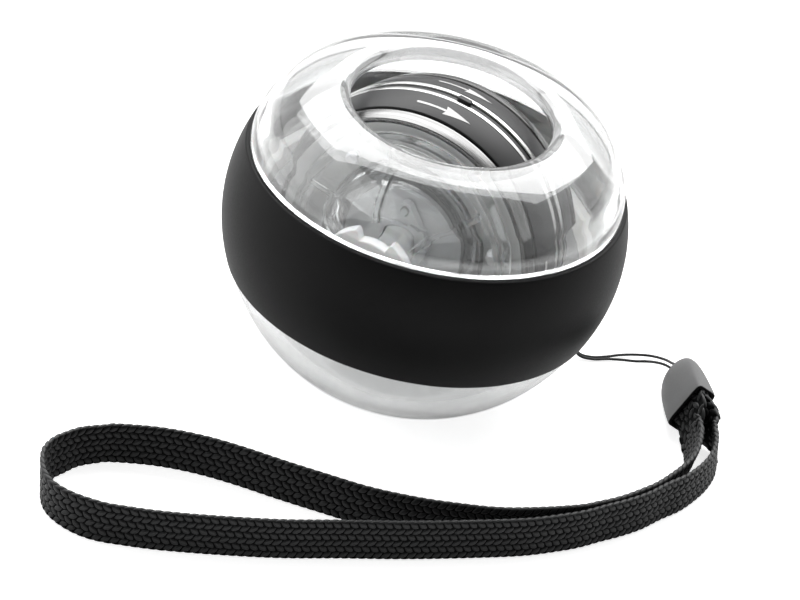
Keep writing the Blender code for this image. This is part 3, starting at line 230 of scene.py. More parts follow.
class Finishes(bpy.types.PropertyGroup):
    """Colours of the finishes."""

    clear: colour("Clear plastic", "Tint of the moulded polycarbonate", (0.955, 0.965, 0.965))
    rubber: colour("Grip rubber", "Soft-touch rubber of the grip band", (0.006, 0.006, 0.0062))
    zinc: colour("Turned metal", "Bare turned flywheel", (0.66, 0.66, 0.655))
    print_grey: colour("Printed band", "Dark print on the flywheel", (0.042, 0.042, 0.043))
    arrow: colour("Arrows", "Light print of the arrows", (0.80, 0.80, 0.79))
    white_plastic: colour("White plastic", "Start disc", (0.86, 0.865, 0.865))
    natural_plastic: colour("Natural plastic", "Carrier ring and spacer", (0.60, 0.60, 0.585))
    cap: colour("Cap", "Grey plastic of the cap", (0.125, 0.126, 0.127))
    yarn: colour("Yarn", "Black polyester yarn", (0.008, 0.0085, 0.009))


class StudioSettings(bpy.types.PropertyGroup):
    """Lamps and even light."""

    key: FloatProperty(name="Key lamp", description="Power of the back lamp", default=14.0, unit="POWER")
    side: FloatProperty(name="Side lamp", description="Power of the left lamp", default=3.8, unit="POWER")
    sky: FloatProperty(name="Sky", description="Strength of the even light", default=0.30)


# Meshes


def as_mesh(name, form, place=None, tidy=True):
    """Make a bmesh a smooth mesh in its place, with doubles merged and faces that point out."""
    if tidy:
        bmesh.ops.remove_doubles(form, verts=form.verts, dist=MERGE_DISTANCE)
        bmesh.ops.recalc_face_normals(form, faces=form.faces)
    if place is not None:
        bmesh.ops.transform(form, matrix=place, verts=form.verts)
    mesh = bpy.data.meshes.new(name)
    form.to_mesh(mesh)
    form.free()
    mesh.shade_smooth()
    return mesh


def finished(name, body, form, material, place=None, nodes=(), sharp=40.0, tidy=True):
    """Make a bmesh a shown piece that rides on a body."""
    mesh = as_mesh(name, form, place, tidy)
    mesh.set_sharp_from_angle(angle=math.radians(sharp))
    mesh.materials.append(material)
    return shown(name, body, mesh, nodes)


def shown(name, body, data, nodes=()):
    """Link a finished mesh or curve and hand it to its body."""
    obj = bpy.data.objects.new(name, data)
    bpy.context.scene.collection.objects.link(obj)
    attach(obj, body)
    if nodes:
        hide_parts(*nodes)
    return obj


def lathe(outline, steps=LATHE_STEPS):
    """Spin a closed outline of (radius, height) points about Z."""
    form = bmesh.new()
    points = [form.verts.new((radius, 0.0, height)) for radius, height in outline]
    edges = [form.edges.new(pair) for pair in zip(points, points[1:])]
    if outline[0][0] > 0.0 or outline[-1][0] > 0.0:
        edges.append(form.edges.new((points[-1], points[0])))
    bmesh.ops.spin(form, geom=points + edges, cent=(0, 0, 0), axis=(0, 0, 1), angle=math.tau, steps=steps,
                   use_merge=True)
    return form


def rounded(outline, radius, steps=3, keep=()):
    """Round each corner of a closed outline, apart from the ones kept and the nearly straight ones."""
    shortest = 1e-6
    straight = math.radians(168)
    result = []
    count = len(outline)
    for i, corner in enumerate(outline):
        corner = Vector(corner)
        before = Vector(outline[i - 1]) - corner
        after = Vector(outline[(i + 1) % count]) - corner
        if i in keep or min(before.length, after.length) < shortest or before.angle(after) > straight:
            result.append(tuple(corner))
            continue
        cut = min(radius / math.tan(before.angle(after) / 2), 0.45 * before.length, 0.45 * after.length)
        start = corner + before.normalized() * cut
        end = corner + after.normalized() * cut
        for k in range(steps + 1):
            t = k / steps
            result.append(tuple(start * (1 - t) ** 2 + corner * (2 * t * (1 - t)) + end * t * t))
    return result


def arc(centre, reach, rise, start, end, steps):
    """Points of an ellipse, with angles in degrees from its outer side."""
    points = []
    for i in range(steps + 1):
        angle = math.radians(start + (end - start) * i / steps)
        points.append((centre[0] + reach * math.cos(angle), centre[1] + rise * math.sin(angle)))
    return points


def ball_arc(radius, start, end, steps):
    """Points of a ball's outline between two heights."""
    low = math.asin(start / radius)
    high = math.asin(end / radius)
    angles = [low + (high - low) * i / steps for i in range(steps + 1)]
    return [(radius * math.cos(angle), radius * math.sin(angle)) for angle in angles]


def smooth_route(points, count):
    """Read points at even spacing from a Catmull-Rom curve through the route's own points."""
    knots = [points[0] * 2 - points[1]] + points + [points[-1] * 2 - points[-2]]
    dense = []
    for i in range(1, len(knots) - 2):
        before, a, b, after = knots[i - 1:i + 3]
        for k in range(KNOT_STEPS):
            t = k / KNOT_STEPS
            dense.append(0.5 * (2 * a + (b - before) * t + (2 * before - 5 * a + 4 * b - after) * t * t
                                + (3 * a - before - 3 * b + after) * t ** 3))
    dense.append(points[-1].copy())
    reach = [0.0]
    for a, b in zip(dense, dense[1:]):
        reach.append(reach[-1] + (b - a).length)
    route = []
    k = 0
    for i in range(count):
        goal = reach[-1] * i / (count - 1)
        while k < len(reach) - 2 and reach[k + 1] < goal:
            k += 1
        share = (goal - reach[k]) / (reach[k + 1] - reach[k])
        route.append(dense[k].lerp(dense[k + 1], share))
    return route, reach[-1]


def combined(obj, tools, operation):
    """Cut or join tools into a piece for good, and remove them."""
    for tool in tools:
        modifier = obj.modifiers.new("combine", "BOOLEAN")
        modifier.operation = operation
        modifier.solver = "EXACT"
        modifier.object = tool
    mesh = bpy.data.meshes.new_from_object(obj.evaluated_get(bpy.context.evaluated_depsgraph_get()))
    obj.modifiers.clear()
    old = obj.data
    obj.data = mesh
    mesh.name = old.name
    bpy.data.meshes.remove(old)
    for tool in tools:
        bpy.data.objects.remove(tool)


def tool_object(form, place):
    """A hidden tool for combined."""
    obj = bpy.data.objects.new("tool", as_mesh("tool", form, place))
    bpy.context.scene.collection.objects.link(obj)
    obj.hide_render = True
    return obj


def rod(radius, bottom, top, segments=32):
    """A plain cylinder along Z, as a tool."""
    form = bmesh.new()
    bmesh.ops.create_cone(form, cap_ends=True, segments=segments, radius1=radius, radius2=radius,
                          depth=top - bottom, matrix=Matrix.Translation((0, 0, (bottom + top) / 2)))
    return form


def only(kind, items):
    """The vertices, edges or faces among what an operator made."""
    return [item for item in items if isinstance(item, kind)]


def prism(points, shift):
    """A flat face through the points, extruded by a shift."""
    form = bmesh.new()
    face = form.faces.new([form.verts.new(point) for point in points])
    grown = bmesh.ops.extrude_face_region(form, geom=[face])["geom"]
    bmesh.ops.translate(form, verts=only(BMVert, grown), vec=shift)
    return form


# Shader parts


def feed(tree, node, inputs):
    """Set a node's inputs to values, or link them to the sockets that feed them."""
    for key, value in inputs.items():
        if isinstance(value, bpy.types.NodeSocket):
            tree.links.new(value, node.inputs[key])
        else:
            node.inputs[key].default_value = value


def add(tree, kind, inputs=None, **settings):
    """Add a node with its settings and inputs."""
    node = tree.nodes.new(kind)
    for key, value in settings.items():
        setattr(node, key, value)
    feed(tree, node, inputs or {})
    return node


def number(tree, operation, *values):
    """Work out a number from one or two others."""
    return add(tree, "ShaderNodeMath", dict(enumerate(values)), operation=operation).outputs[0]


def spread(tree, value, low, high, start=0.0, end=1.0, smooth=False):
    """Bring a value that runs from start to end to a range from low to high."""
    return add(tree, "ShaderNodeMapRange", {"Value": value, "From Min": start, "From Max": end,
                                            "To Min": low, "To Max": high},
               interpolation_type="SMOOTHSTEP" if smooth else "LINEAR").outputs["Result"]


def mixed(tree, share, low, high):
    """Go from one colour to another."""
    return add(tree, "ShaderNodeMix", {0: share, 6: low, 7: high}, data_type="RGBA").outputs[2]


def between(tree, share, low, high):
    """Go from one number to another."""
    return add(tree, "ShaderNodeMix", {0: share, 2: low, 3: high}).outputs[0]


def tinted(tree, share, tint, darker, lighter):
    """Vary a colour between two shares of itself."""
    low, high = [(*(min(1.0, channel * level) for channel in tint), 1.0) for level in (darker, lighter)]
    return mixed(tree, share, low, high)


def noise(tree, vector, scale, detail, roughness=0.5):
    """Soft random values between 0 and 1."""
    return add(tree, "ShaderNodeTexNoise", {"Vector": vector, "Scale": scale, "Detail": detail,
                                            "Roughness": roughness}).outputs["Fac"]


def bumped(tree, height, depth):
    """A normal that follows a height."""
    bump = add(tree, "ShaderNodeBump", {"Height": height, "Distance": depth, "Strength": 1.0})
    return bump.outputs["Normal"]


def point_of(tree, x, y, z=0.0):
    """A point from its three numbers."""
    return add(tree, "ShaderNodeCombineXYZ", {0: x, 1: y, 2: z}).outputs[0]


def numbers_of(tree, vector):
    """The three numbers of a point."""
    return add(tree, "ShaderNodeSeparateXYZ", {0: vector}).outputs


def distance(tree, vector):
    """Length of a vector."""
    return add(tree, "ShaderNodeVectorMath", {0: vector}, operation="LENGTH").outputs["Value"]


def new_effect(name, inputs, outputs):
    """Start a node group with named sockets, and give its tree, its inputs and its output node."""
    tree = bpy.data.node_groups.new(name, "ShaderNodeTree")
    for label, kind, value in [("Vector", "Vector", None)] + inputs:
        socket = tree.interface.new_socket(name=label, in_out="INPUT", socket_type="NodeSocket" + kind)
        if value is not None:
            socket.default_value = value
    for label, kind in outputs + [("Normal", "Vector")]:
        tree.interface.new_socket(name=label, in_out="OUTPUT", socket_type="NodeSocket" + kind)
    return tree, tree.nodes.new("NodeGroupInput").outputs, tree.nodes.new("NodeGroupOutput")


def placed(tree, effect, inputs):
    """Place a shared effect in a material. The effect is built the first time."""
    name = effect.__name__
    if name not in bpy.data.node_groups:
        effect(name)
    return add(tree, "ShaderNodeGroup", inputs, node_tree=bpy.data.node_groups[name]).outputs


def moulded_grain(name):
    """Fine moulded grain with soft patches of handling."""
    tree, given, result = new_effect(name, [("Grain Size", "Float", 0.3 * MM), ("Depth", "Float", 0.01 * MM)],
                                     [("Grain", "Float"), ("Patches", "Float")])
    patches_per_metre = 90.0
    grain = noise(tree, given["Vector"], number(tree, "DIVIDE", 1.0, given["Grain Size"]), 3.0, 0.6)
    patches = noise(tree, given["Vector"], patches_per_metre, 4.0, 0.55)
    feed(tree, result, {"Grain": grain, "Patches": spread(tree, patches, 0.0, 1.0, 0.35, 0.65, smooth=True),
                        "Normal": bumped(tree, grain, given["Depth"])})


def turned_rings(name):
    """Fine rings that a lathe leaves, in a frame whose Z is the axle."""
    tree, given, result = new_effect(name, [("Ring Size", "Float", 0.12 * MM), ("Depth", "Float", 0.01 * MM)],
                                     [("Rings", "Float"), ("Streaks", "Float")])
    drift_round_the_axle = 0.6 * MM
    streaks_per_metre = 1600.0
    x, y, z = numbers_of(tree, given["Vector"])
    reach = distance(tree, point_of(tree, x, y))
    around = number(tree, "MULTIPLY", number(tree, "ARCTAN2", y, x), drift_round_the_axle)
    across = point_of(tree, reach, z, around)
    rings = noise(tree, across, number(tree, "DIVIDE", 1.0, given["Ring Size"]), 2.0, 0.65)
    feed(tree, result, {"Rings": rings, "Streaks": noise(tree, across, streaks_per_metre, 3.0, 0.6),
                        "Normal": bumped(tree, rings, given["Depth"])})


def yarn_filaments(name):
    """Filaments along a yarn, from a piece's own UV map: U along it and V across."""
    tree, given, result = new_effect(name, [("Filaments", "Float", 9.0), ("Depth", "Float", 0.02 * MM)],
                                     [("Filaments", "Float"), ("Fuzz", "Float")])
    along, across, _ = numbers_of(tree, given["Vector"])
    lane = point_of(tree, number(tree, "MULTIPLY", along, 0.7),
                    number(tree, "MULTIPLY", across, given["Filaments"]))
    lines = noise(tree, lane, 1.0, 2.0, 0.6)
    feed(tree, result, {"Filaments": lines, "Fuzz": noise(tree, given["Vector"], 6.0, 4.0),
                        "Normal": bumped(tree, lines, given["Depth"])})


def new_finish(name):
    """A material with its Principled shader."""
    material = bpy.data.materials.new(name)
    material.use_nodes = True
    tree = material.node_tree
    return material, tree, tree.nodes["Principled BSDF"]


def ball_vector(tree):
    """Object coordinates."""
    return add(tree, "ShaderNodeTexCoord").outputs["Object"]


def rotor_vector(tree):
    """Object coordinates in the rotor's frame, whose Z is the axle."""
    return add(tree, "ShaderNodeMapping", {"Vector": ball_vector(tree), "Location": EQUATOR,
                                           "Rotation": ROTOR_TURN}, vector_type="TEXTURE").outputs["Vector"]


def moulded(name, tint, rough, grain_size, depth, variation=0.12, **values):
    """Moulded plastic or rubber with a fine grain."""
    material, tree, shader = new_finish(name)
    grain = placed(tree, moulded_grain, {"Vector": ball_vector(tree), "Grain Size": grain_size,
                                         "Depth": depth})
    feed(tree, shader, {
        "Base Color": tinted(tree, grain["Patches"], tint, 1.0 - variation, 1.0 + variation),
        "Roughness": spread(tree, grain["Grain"], rough - 0.08, rough + 0.08), "Normal": grain["Normal"],
    })
    feed(tree, shader, {key.replace("_", " "): value for key, value in values.items()})
    return material


def turned_metal(name, tint, rough, ring_size, depth):
    """Metal with lathe rings round the axle, with painted shade that darkens the flywheel's flange and a
    painted highlight that makes its dish paler.
    """
    material, tree, shader = new_finish(name)
    vector = rotor_vector(tree)
    rings = placed(tree, turned_rings, {"Vector": vector, "Ring Size": ring_size, "Depth": depth})
    # Painted light: the flange gets a darker copy of the metal for painted shade, and the dish a paler copy
    # for a painted highlight.
    crown, shaded_flange, lit_dish = [tinted(tree, rings["Streaks"], tint, darker, lighter)
                           for darker, lighter in ((0.86, 1.10), (0.12, 0.56), (1.15, 1.45))]
    dish_roughness = 0.52
    x, y, z = numbers_of(tree, vector)
    # Masks in the rotor's frame: outer picks the flange for the painted shade, and inner picks the dish for
    # the painted highlight.
    outer = spread(tree, number(tree, "ABSOLUTE", z), 0.0, 1.0, FLANGE_START - 0.4 * MM, FLANGE_START)
    middle = spread(tree, distance(tree, point_of(tree, x, y)), 1.0, 0.0, DISH_RADIUS - 0.2 * MM, DISH_RADIUS)
    inner = number(tree, "MULTIPLY", outer, middle)
    ringed = spread(tree, rings["Rings"], rough - 0.07, rough + 0.10)
    feed(tree, shader, {
        "Base Color": mixed(tree, inner, mixed(tree, outer, crown, shaded_flange), lit_dish),
        "Roughness": between(tree, inner, ringed, dish_roughness), "Normal": rings["Normal"], "Metallic": 1.0,
    })
    return material


def clear_plastic(name, tint, rough, bend, edge_shade):
    """Clear moulding with painted grey shade where it is seen along its wall, that lets the lamps' light
    through.
    """
    material, tree, shader = new_finish(name)
    grain = placed(tree, moulded_grain, {"Vector": ball_vector(tree), "Grain Size": 4.0 * MM,
                                         "Depth": 0.01 * MM})
    body = tinted(tree, grain["Patches"], tint, 0.985, 1.0)
    # Painted shade: the base colour turns grey where the surface is seen at a grazing angle, for soft grey
    # outlines.
    edge = add(tree, "ShaderNodeLayerWeight", {"Blend": 0.45}).outputs["Facing"]
    shade = (*(channel * edge_shade for channel in tint), 1.0)
    feed(tree, shader, {
        "Base Color": mixed(tree, edge, body, shade),
        "Roughness": spread(tree, grain["Patches"], rough, rough * 2.2), "Normal": grain["Normal"],
        "Transmission Weight": 1.0, "IOR": bend, "Coat Weight": 1.0, "Coat Roughness": 0.05, "Coat IOR": 1.8,
        "Sheen Weight": 0.12, "Sheen Roughness": 0.5,
    })
    open_side = add(tree, "ShaderNodeBsdfTransparent", {"Color": (0.93, 0.935, 0.935, 1.0)})
    path = add(tree, "ShaderNodeLightPath")
    mix = add(tree, "ShaderNodeMixShader", {0: path.outputs["Is Shadow Ray"], 1: shader.outputs[0],
                                            2: open_side.outputs[0]})
    tree.links.new(mix.outputs[0], tree.nodes["Material Output"].inputs["Surface"])
    return material


def yarn_finish(name, tint):
    """Polyester yarn with filaments along it."""
    material, tree, shader = new_finish(name)
    vector = add(tree, "ShaderNodeTexCoord").outputs["UV"]
    yarn = placed(tree, yarn_filaments, {"Vector": vector, "Filaments": 9.0, "Depth": 0.02 * MM})
    feed(tree, shader, {
        "Base Color": tinted(tree, yarn["Filaments"], tint, 0.6, 1.5),
        "Roughness": spread(tree, yarn["Fuzz"], 0.38, 0.55), "Normal": yarn["Normal"],
        "Sheen Weight": 0.08, "Sheen Roughness": 0.4, "Specular IOR Level": 0.45,
    })
    return material


def sizes():
    """The four groups of settings."""
    scene = bpy.context.scene
    return scene.ball_sizes, scene.rotor_sizes, scene.lanyard_sizes, scene.ball_finishes


# Stage


class WRISTBALL_OT_stage(bpy.types.Operator):
    """Set up the camera, the lamps, the floor and the white backdrop"""

    bl_idname = "wristball.stage"
    bl_label = "Stage"

    def execute(self, context):
        scene = context.scene
        studio = scene.ball_studio
        scene.view_settings.view_transform = "Standard"
        camera = bpy.data.cameras.new("camera")
        camera.sensor_fit = "HORIZONTAL"
        camera.sensor_width = 36.0
        camera.lens = CAMERA_LENS
        camera.clip_start = 0.01
        camera.clip_end = 50.0
        viewer = bpy.data.objects.new("camera", camera)
        rows = [(CAMERA_RIGHT[i], CAMERA_UP[i], CAMERA_BACK[i], CAMERA_PLACE[i]) for i in range(3)]
        viewer.matrix_world = Matrix(rows + [(0.0, 0.0, 0.0, 1.0)])
        scene.collection.objects.link(viewer)
        scene.camera = viewer
        softbox("key_lamp", (-0.05, 0.58, 0.78), (1.5, 0.80), studio.key)
        softbox("side_lamp", (-0.70, -0.10, 0.40), (1.2, 1.0), studio.side)
        floor = bmesh.new()
        bmesh.ops.create_grid(floor, x_segments=8, y_segments=8, size=3.0,
                              matrix=Matrix.Translation((0, 0, -0.02 * MM)))
        mesh = bpy.data.meshes.new("floor")
        floor.to_mesh(mesh)
        floor.free()
        mesh.materials.append(floor_finish())
        ground = bpy.data.objects.new("floor", mesh)
        scene.collection.objects.link(ground)
        white_sky(scene, studio.sky)
        return {"FINISHED"}


def softbox(name, place, size, power):
    """A large area lamp that looks at the ball."""
    lamp = bpy.data.lights.new(name, "AREA")
    lamp.shape = "RECTANGLE"
    lamp.size, lamp.size_y = size
    lamp.energy = power
    obj = bpy.data.objects.new(name, lamp)
    obj.location = place
    obj.rotation_euler = (EQUATOR - Vector(place)).to_track_quat("-Z", "Y").to_euler()
    obj.visible_camera = False
    bpy.context.scene.collection.objects.link(obj)


def ray_masks(tree):
    """One for rays from the camera, one for gloss and clear pieces, and one for clear pieces alone."""
    path = add(tree, "ShaderNodeLightPath").outputs
    bent = number(tree, "MAXIMUM", path["Is Glossy Ray"], path["Is Transmission Ray"])
    return path["Is Camera Ray"], bent, path["Is Transmission Ray"]


def floor_finish():
    """White sweep that keeps the object's shadow, bright round the object and darker further out."""
    material, tree, shader = new_finish("floor")
    place = ball_vector(tree)
    camera, bent, clear = ray_masks(tree)
    brightest = spread(tree, clear, 0.16, 0.55)
    near, far, darkest, seen_by_camera = 0.14, 0.60, 0.02, 0.76
    level = spread(tree, distance(tree, place), brightest, darkest, near, far, smooth=True)
    feed(tree, shader, {
        "Base Color": mixed(tree, noise(tree, place, 6.0, 3.0), (0.80, 0.80, 0.80, 1.0),
                            (0.82, 0.82, 0.82, 1.0)),
        "Roughness": 0.9, "Specular IOR Level": 0.0, "Emission Color": (1.0, 1.0, 1.0, 1.0),
        "Emission Strength": between(tree, camera, number(tree, "MULTIPLY", bent, level), seen_by_camera),
    })
    return material


def white_sky(scene, strength):
    """Even grey light, seen as white, with a darker side at the front for gloss and clear pieces."""
    world = bpy.data.worlds.new("studio")
    scene.world = world
    world.use_nodes = True
    tree = world.node_tree
    direction = add(tree, "ShaderNodeTexCoord").outputs["Generated"]
    front = add(tree, "ShaderNodeVectorMath", {0: direction, 1: (0.05, -0.92, 0.38)}, operation="DOT_PRODUCT")
    gloss, clear = [spread(tree, front.outputs["Value"], 1.0, darkest, -0.35, 0.55, smooth=True)
                    for darkest in (0.06, 0.80)]
    camera, bent, through = ray_masks(tree)
    level = between(tree, bent, strength, between(tree, through, gloss, clear))
    feed(tree, tree.nodes["Background"], {"Color": (1.0, 1.0, 1.0, 1.0),
                                          "Strength": between(tree, camera, level, 1.0)})


# Lanyard


def cap_frame():
    """Axes of the cap: its wide side, its thin side and the way to its crown."""
    ahead = CAP_DIRECTION.normalized()
    level = Vector((ahead.y, -ahead.x, 0.0)).normalized()
    upward = level.cross(ahead)
    wide = upward * math.cos(CAP_LEAN) + level * math.sin(CAP_LEAN)
    thin = level * math.cos(CAP_LEAN) - upward * math.sin(CAP_LEAN)
    return wide, thin, ahead


def hole_direction(bowl_radius):
    """Outward direction of the lanyard holes, square to the bowl."""
    below = HOLE_HEIGHT - EQUATOR.z
    level = math.sqrt(bowl_radius ** 2 - below ** 2)
    return Vector((level * math.cos(HOLE_AZIMUTH), level * math.sin(HOLE_AZIMUTH), below)).normalized()


def hole_sideways():
    """Level direction from one lanyard hole to the other."""
    return Vector((-math.sin(HOLE_AZIMUTH), math.cos(HOLE_AZIMUTH), 0.0))


def hole_places(bowl_radius):
    """Mouths of the two lanyard holes."""
    centre = hole_direction(bowl_radius) * bowl_radius + EQUATOR
    return [centre + hole_sideways() * (HOLE_SPACING / 2 * side) for side in (-1, 1)]


def string_strand(side, cap_length):
    """One strand's route from the bowl's hole to the cap's crown."""
    lane = [
        (0.0283, 0.0154, 0.0098), (0.0296, 0.0154, 0.0066), (0.0306, 0.0151, 0.0034),
        (0.0322, 0.0151, 0.0010), (0.0347, 0.0158, 0.0004), (0.0372, 0.0170, 0.0004),
        (0.0398, 0.0183, 0.0004), (0.0423, 0.0191, 0.0005), (0.0446, 0.0190, 0.0011),
        (0.0466, 0.0178, 0.0020), (0.0481, 0.0162, 0.0028),
    ]
    shares_of_spacing = (1.20, 0.75, 0.55, 0.52, 0.60, 1.25, 1.75, 1.85, 1.75, 1.35)
    route = [Vector(lane[0]) + hole_sideways() * (0.8 * HOLE_SPACING / 2 * side)]
    for behind, here, ahead, share in zip(lane, lane[1:], lane[2:] + lane[-1:], shares_of_spacing):
        across = Vector((behind[1] - ahead[1], ahead[0] - behind[0], 0.0)).normalized()
        route.append(Vector(here) + across * (STRING_SPACING * share * side))
    wide, _, ahead = cap_frame()
    for reach in (cap_length + 0.2 * MM, cap_length - 1.8 * MM):
        route.append(CAP_MOUTH + ahead * reach + wide * (EYE_SPREAD * side))
    return route


def string_route(ball, lanyard):
    """The string's whole route, from the cap through both holes and back."""
    near, far = hole_places(ball.bowl_radius)
    inward = -hole_direction(ball.bowl_radius)
    outside = inward * (-0.4 * MM)
    through = inward * (0.75 * ball.wall)
    beside = inward * (0.62 * ball.wall)
    middle = (near + far) / 2 + inward * (ball.wall + 1.9 * MM)
    route = string_strand(-1, lanyard.cap_length)[::-1] + [near + outside, near + through]
    route += [near.lerp(middle, 0.35) + beside, middle, far.lerp(middle, 0.35) + beside]
    route += [far + through, far + outside] + string_strand(1, lanyard.cap_length)
    return smooth_route(route, STRING_POINTS)[0]


def strap_route(width):
    """Centre line of the strap, from the cap round the loop and back into the cap."""
    level = width / 2 + STRAP_FLOOR_GAP
    _, thin, ahead = cap_frame()
    layer = thin * (STRAP_LAYER_SPACING / 2)
    inside = CAP_MOUTH + ahead * STRAP_IN_CAP
    mouth = CAP_MOUTH - ahead * STRAP_OUT_OF_CAP
    outer_run = [
        (0.0578, -0.0047), (0.0586, -0.0088), (0.0586, -0.0130), (0.0574, -0.0181), (0.0546, -0.0240),
        (0.0512, -0.0286), (0.0482, -0.0329), (0.0450, -0.0364), (0.0419, -0.0393), (0.0387, -0.0424),
        (0.0354, -0.0450), (0.0291, -0.0492), (0.0193, -0.0541), (0.0095, -0.0586), (-0.0003, -0.0626),
        (-0.0100, -0.0667), (-0.0197, -0.0700), (-0.0294, -0.0728), (-0.0360, -0.0741), (-0.0404, -0.0746),
        (-0.0447, -0.0739), (-0.0481, -0.0722), (-0.0501, -0.0699), (-0.0513, -0.0666), (-0.0516, -0.0632),
    ]
    inner_run = [
        (-0.0507, -0.0601), (-0.0490, -0.0575), (-0.0470, -0.0550), (-0.0441, -0.0529), (-0.0415, -0.0514),
        (-0.0345, -0.0494), (-0.0275, -0.0487), (-0.0205, -0.0491), (-0.0133, -0.0501), (-0.0061, -0.0509),
        (0.0020, -0.0516), (0.0103, -0.0511), (0.0171, -0.0499), (0.0238, -0.0482), (0.0304, -0.0453),
        (0.0371, -0.0416), (0.0403, -0.0391), (0.0436, -0.0362), (0.0468, -0.0326), (0.0499, -0.0285),
        (0.0526, -0.0233), (0.0543, -0.0180), (0.0549, -0.0130), (0.0547, -0.0085), (0.0538, -0.0047),
    ]
    start = [inside + layer, mouth + layer]
    end = [mouth - layer, inside - layer]
    return start + [Vector((x, y, level)) for x, y in outer_run + inner_run] + end


def eased(share):
    """Ease a share in and out, and hold it between 0 and 1."""
    share = min(1.0, max(0.0, share))
    return share * share * (3 - 2 * share)


def strap_lean(reach, settled, settle, fade):
    """Lean of one of the strap's ends: the cap's own at the mouth, then the run's, then none."""
    into = eased((reach - settle[0]) / settle[1])
    out = eased((reach - fade[0]) / fade[1])
    return (CAP_LEAN * (1 - into) + settled * into) * (1 - out)


def strap_tilt(reach, total):
    """Turn of the strap about its own line, from upright."""
    turn = STRAP_TURN_LEAN * eased(1.6 - abs(reach - STRAP_TURN_PLACE * total) / STRAP_TURN_SPREAD)
    if reach < total / 2:
        return -strap_lean(reach, STRAP_OUTER_LEAN, STRAP_OUTER_SETTLE, STRAP_OUTER_FADE) - turn
    return strap_lean(total - reach, STRAP_INNER_LEAN, STRAP_INNER_SETTLE, STRAP_INNER_FADE) - turn


def open_curve(name, points, depth, material, extrude=0.0, tilts=None):
    """A round or flat cord as one open spline with filled caps."""
    curve = bpy.data.curves.new(name, "CURVE")
    curve.dimensions = "3D"
    curve.twist_mode = "Z_UP"
    curve.bevel_depth = depth
    curve.bevel_resolution = 3
    curve.extrude = extrude
    curve.use_fill_caps = True
    curve.materials.append(material)
    spline = curve.splines.new("POLY")
    spline.points.add(len(points) - 1)
    for i, place in enumerate(points):
        spline.points[i].co = (*place, 1.0)
        spline.points[i].tilt = tilts[i] if tilts else 0.0
    return curve


def scattered(template, places):
    """Copy one small shape to each place, and free the template."""
    whole = bmesh.new()
    mesh = bpy.data.meshes.new("copies")
    for place in places:
        one = template.copy()
        bmesh.ops.transform(one, matrix=place, verts=one.verts)
        one.to_mesh(mesh)
        one.free()
        whole.from_mesh(mesh)
    template.free()
    bpy.data.meshes.remove(mesh)
    return whole


def yarn_float():
    """One visible stretch of yarn: a pointed pillow with a UV map along it."""
    pillow = bmesh.new()
    bmesh.ops.create_icosphere(pillow, subdivisions=2, radius=1.0)
    hidden_depth = -0.25
    below = [point for point in pillow.verts if point.co.z < hidden_depth]
    bmesh.ops.delete(pillow, geom=below, context="VERTS")
    for point in pillow.verts:
        point.co.y *= 1.0 - 0.45 * point.co.x ** 2
    layer = pillow.loops.layers.uv.new("yarn")
    for face in pillow.faces:
        for corner in face.loops:
            corner[layer].uv = (corner.vert.co.x * 0.5 + 0.5, corner.vert.co.y * 0.5 + 0.5)
    return pillow


def strap_frames(lanyard):
    """Give the strap's middle and the direction of its width at any reach."""
    route, total = smooth_route(strap_route(lanyard.strap_width), BRAID_POINTS)
    step = total / (len(route) - 1)

    def at(reach):
        index = min(len(route) - 2, int(reach / step))
        point = route[index].lerp(route[index + 1], reach / step - index)
        ahead = (route[min(index + 2, len(route) - 1)] - route[max(index - 1, 0)]).normalized()
        level = Vector((0, 0, 1)).cross(ahead).normalized()
        upright = ahead.cross(level).normalized()
        tilt = strap_tilt(reach, total)
        return point, upright * math.cos(tilt) - level * math.sin(tilt)

    return at, total


def braid_places(lanyard):
    """Place of every visible stretch of yarn on both faces and both edges of the strap."""
    at, total = strap_frames(lanyard)
    columns = int(total / lanyard.braid_pitch)
    spacing = total / columns
    row_height = (lanyard.strap_width - 2 * BRAID_EDGE_HEIGHT) / BRAID_ROWS
    edge_row = lanyard.strap_width / 2 - BRAID_EDGE_HEIGHT
    half = lanyard.strap_thickness / 2
    places = []
    for column in range(columns):
        for row in range(-1, BRAID_ROWS + 1):
            reach = (column + 0.5 + (0.5 if row % 2 else 0.0)) * spacing
            if reach > total - BRAID_END_GAP:
                continue
            if row == BRAID_ROWS:
                height = edge_row
            elif row == -1:
                height = BRAID_EDGE_LIFT - edge_row
            else:
                height = (row + 0.5 - BRAID_ROWS / 2) * row_height
            behind, low = at(max(0.0, reach - spacing / 4))
            before, high = at(min(total, reach + spacing / 4))
            point, up = at(reach)
            lane = (before + high * height) - (behind + low * height)
            pitch = min(1.25, max(0.5, 2 * lane.length / spacing)) * spacing
            lane.normalize()
            out = up.cross(lane).normalized()
            up = lane.cross(out)
            if row in (-1, BRAID_ROWS):
                turn = frame_of(lane, out, up if row > 0 else -up, BRAID_EDGE_SLANT)
                shape = Matrix.Diagonal((0.80 * pitch, 0.92 * half, BRAID_EDGE_HEIGHT, 1))
                places.append(Matrix.Translation(point + up * height) @ turn @ shape)
                continue
            shape = Matrix.Diagonal((0.62 * pitch, 0.43 * row_height, BRAID_RELIEF, 1))
            slant = BRAID_SLANT if row % 2 else -BRAID_SLANT
            for face in (-1.0, 1.0):
                centre = point + up * height + out * (face * (half - BRAID_RELIEF))
                turn = frame_of(lane, up * face, out * face, slant * face)
                places.append(Matrix.Translation(centre) @ turn @ shape)
    return places


def frame_of(ahead, across, outward, slant):
    """A turn whose X runs along a slanted yarn and whose Z points out of the strap."""
    along = ahead * math.cos(slant) + across * math.sin(slant)
    outward = outward.normalized()
    side = outward.cross(along).normalized()
    along = side.cross(outward)
    return Matrix((along, side, outward)).transposed().to_4x4()


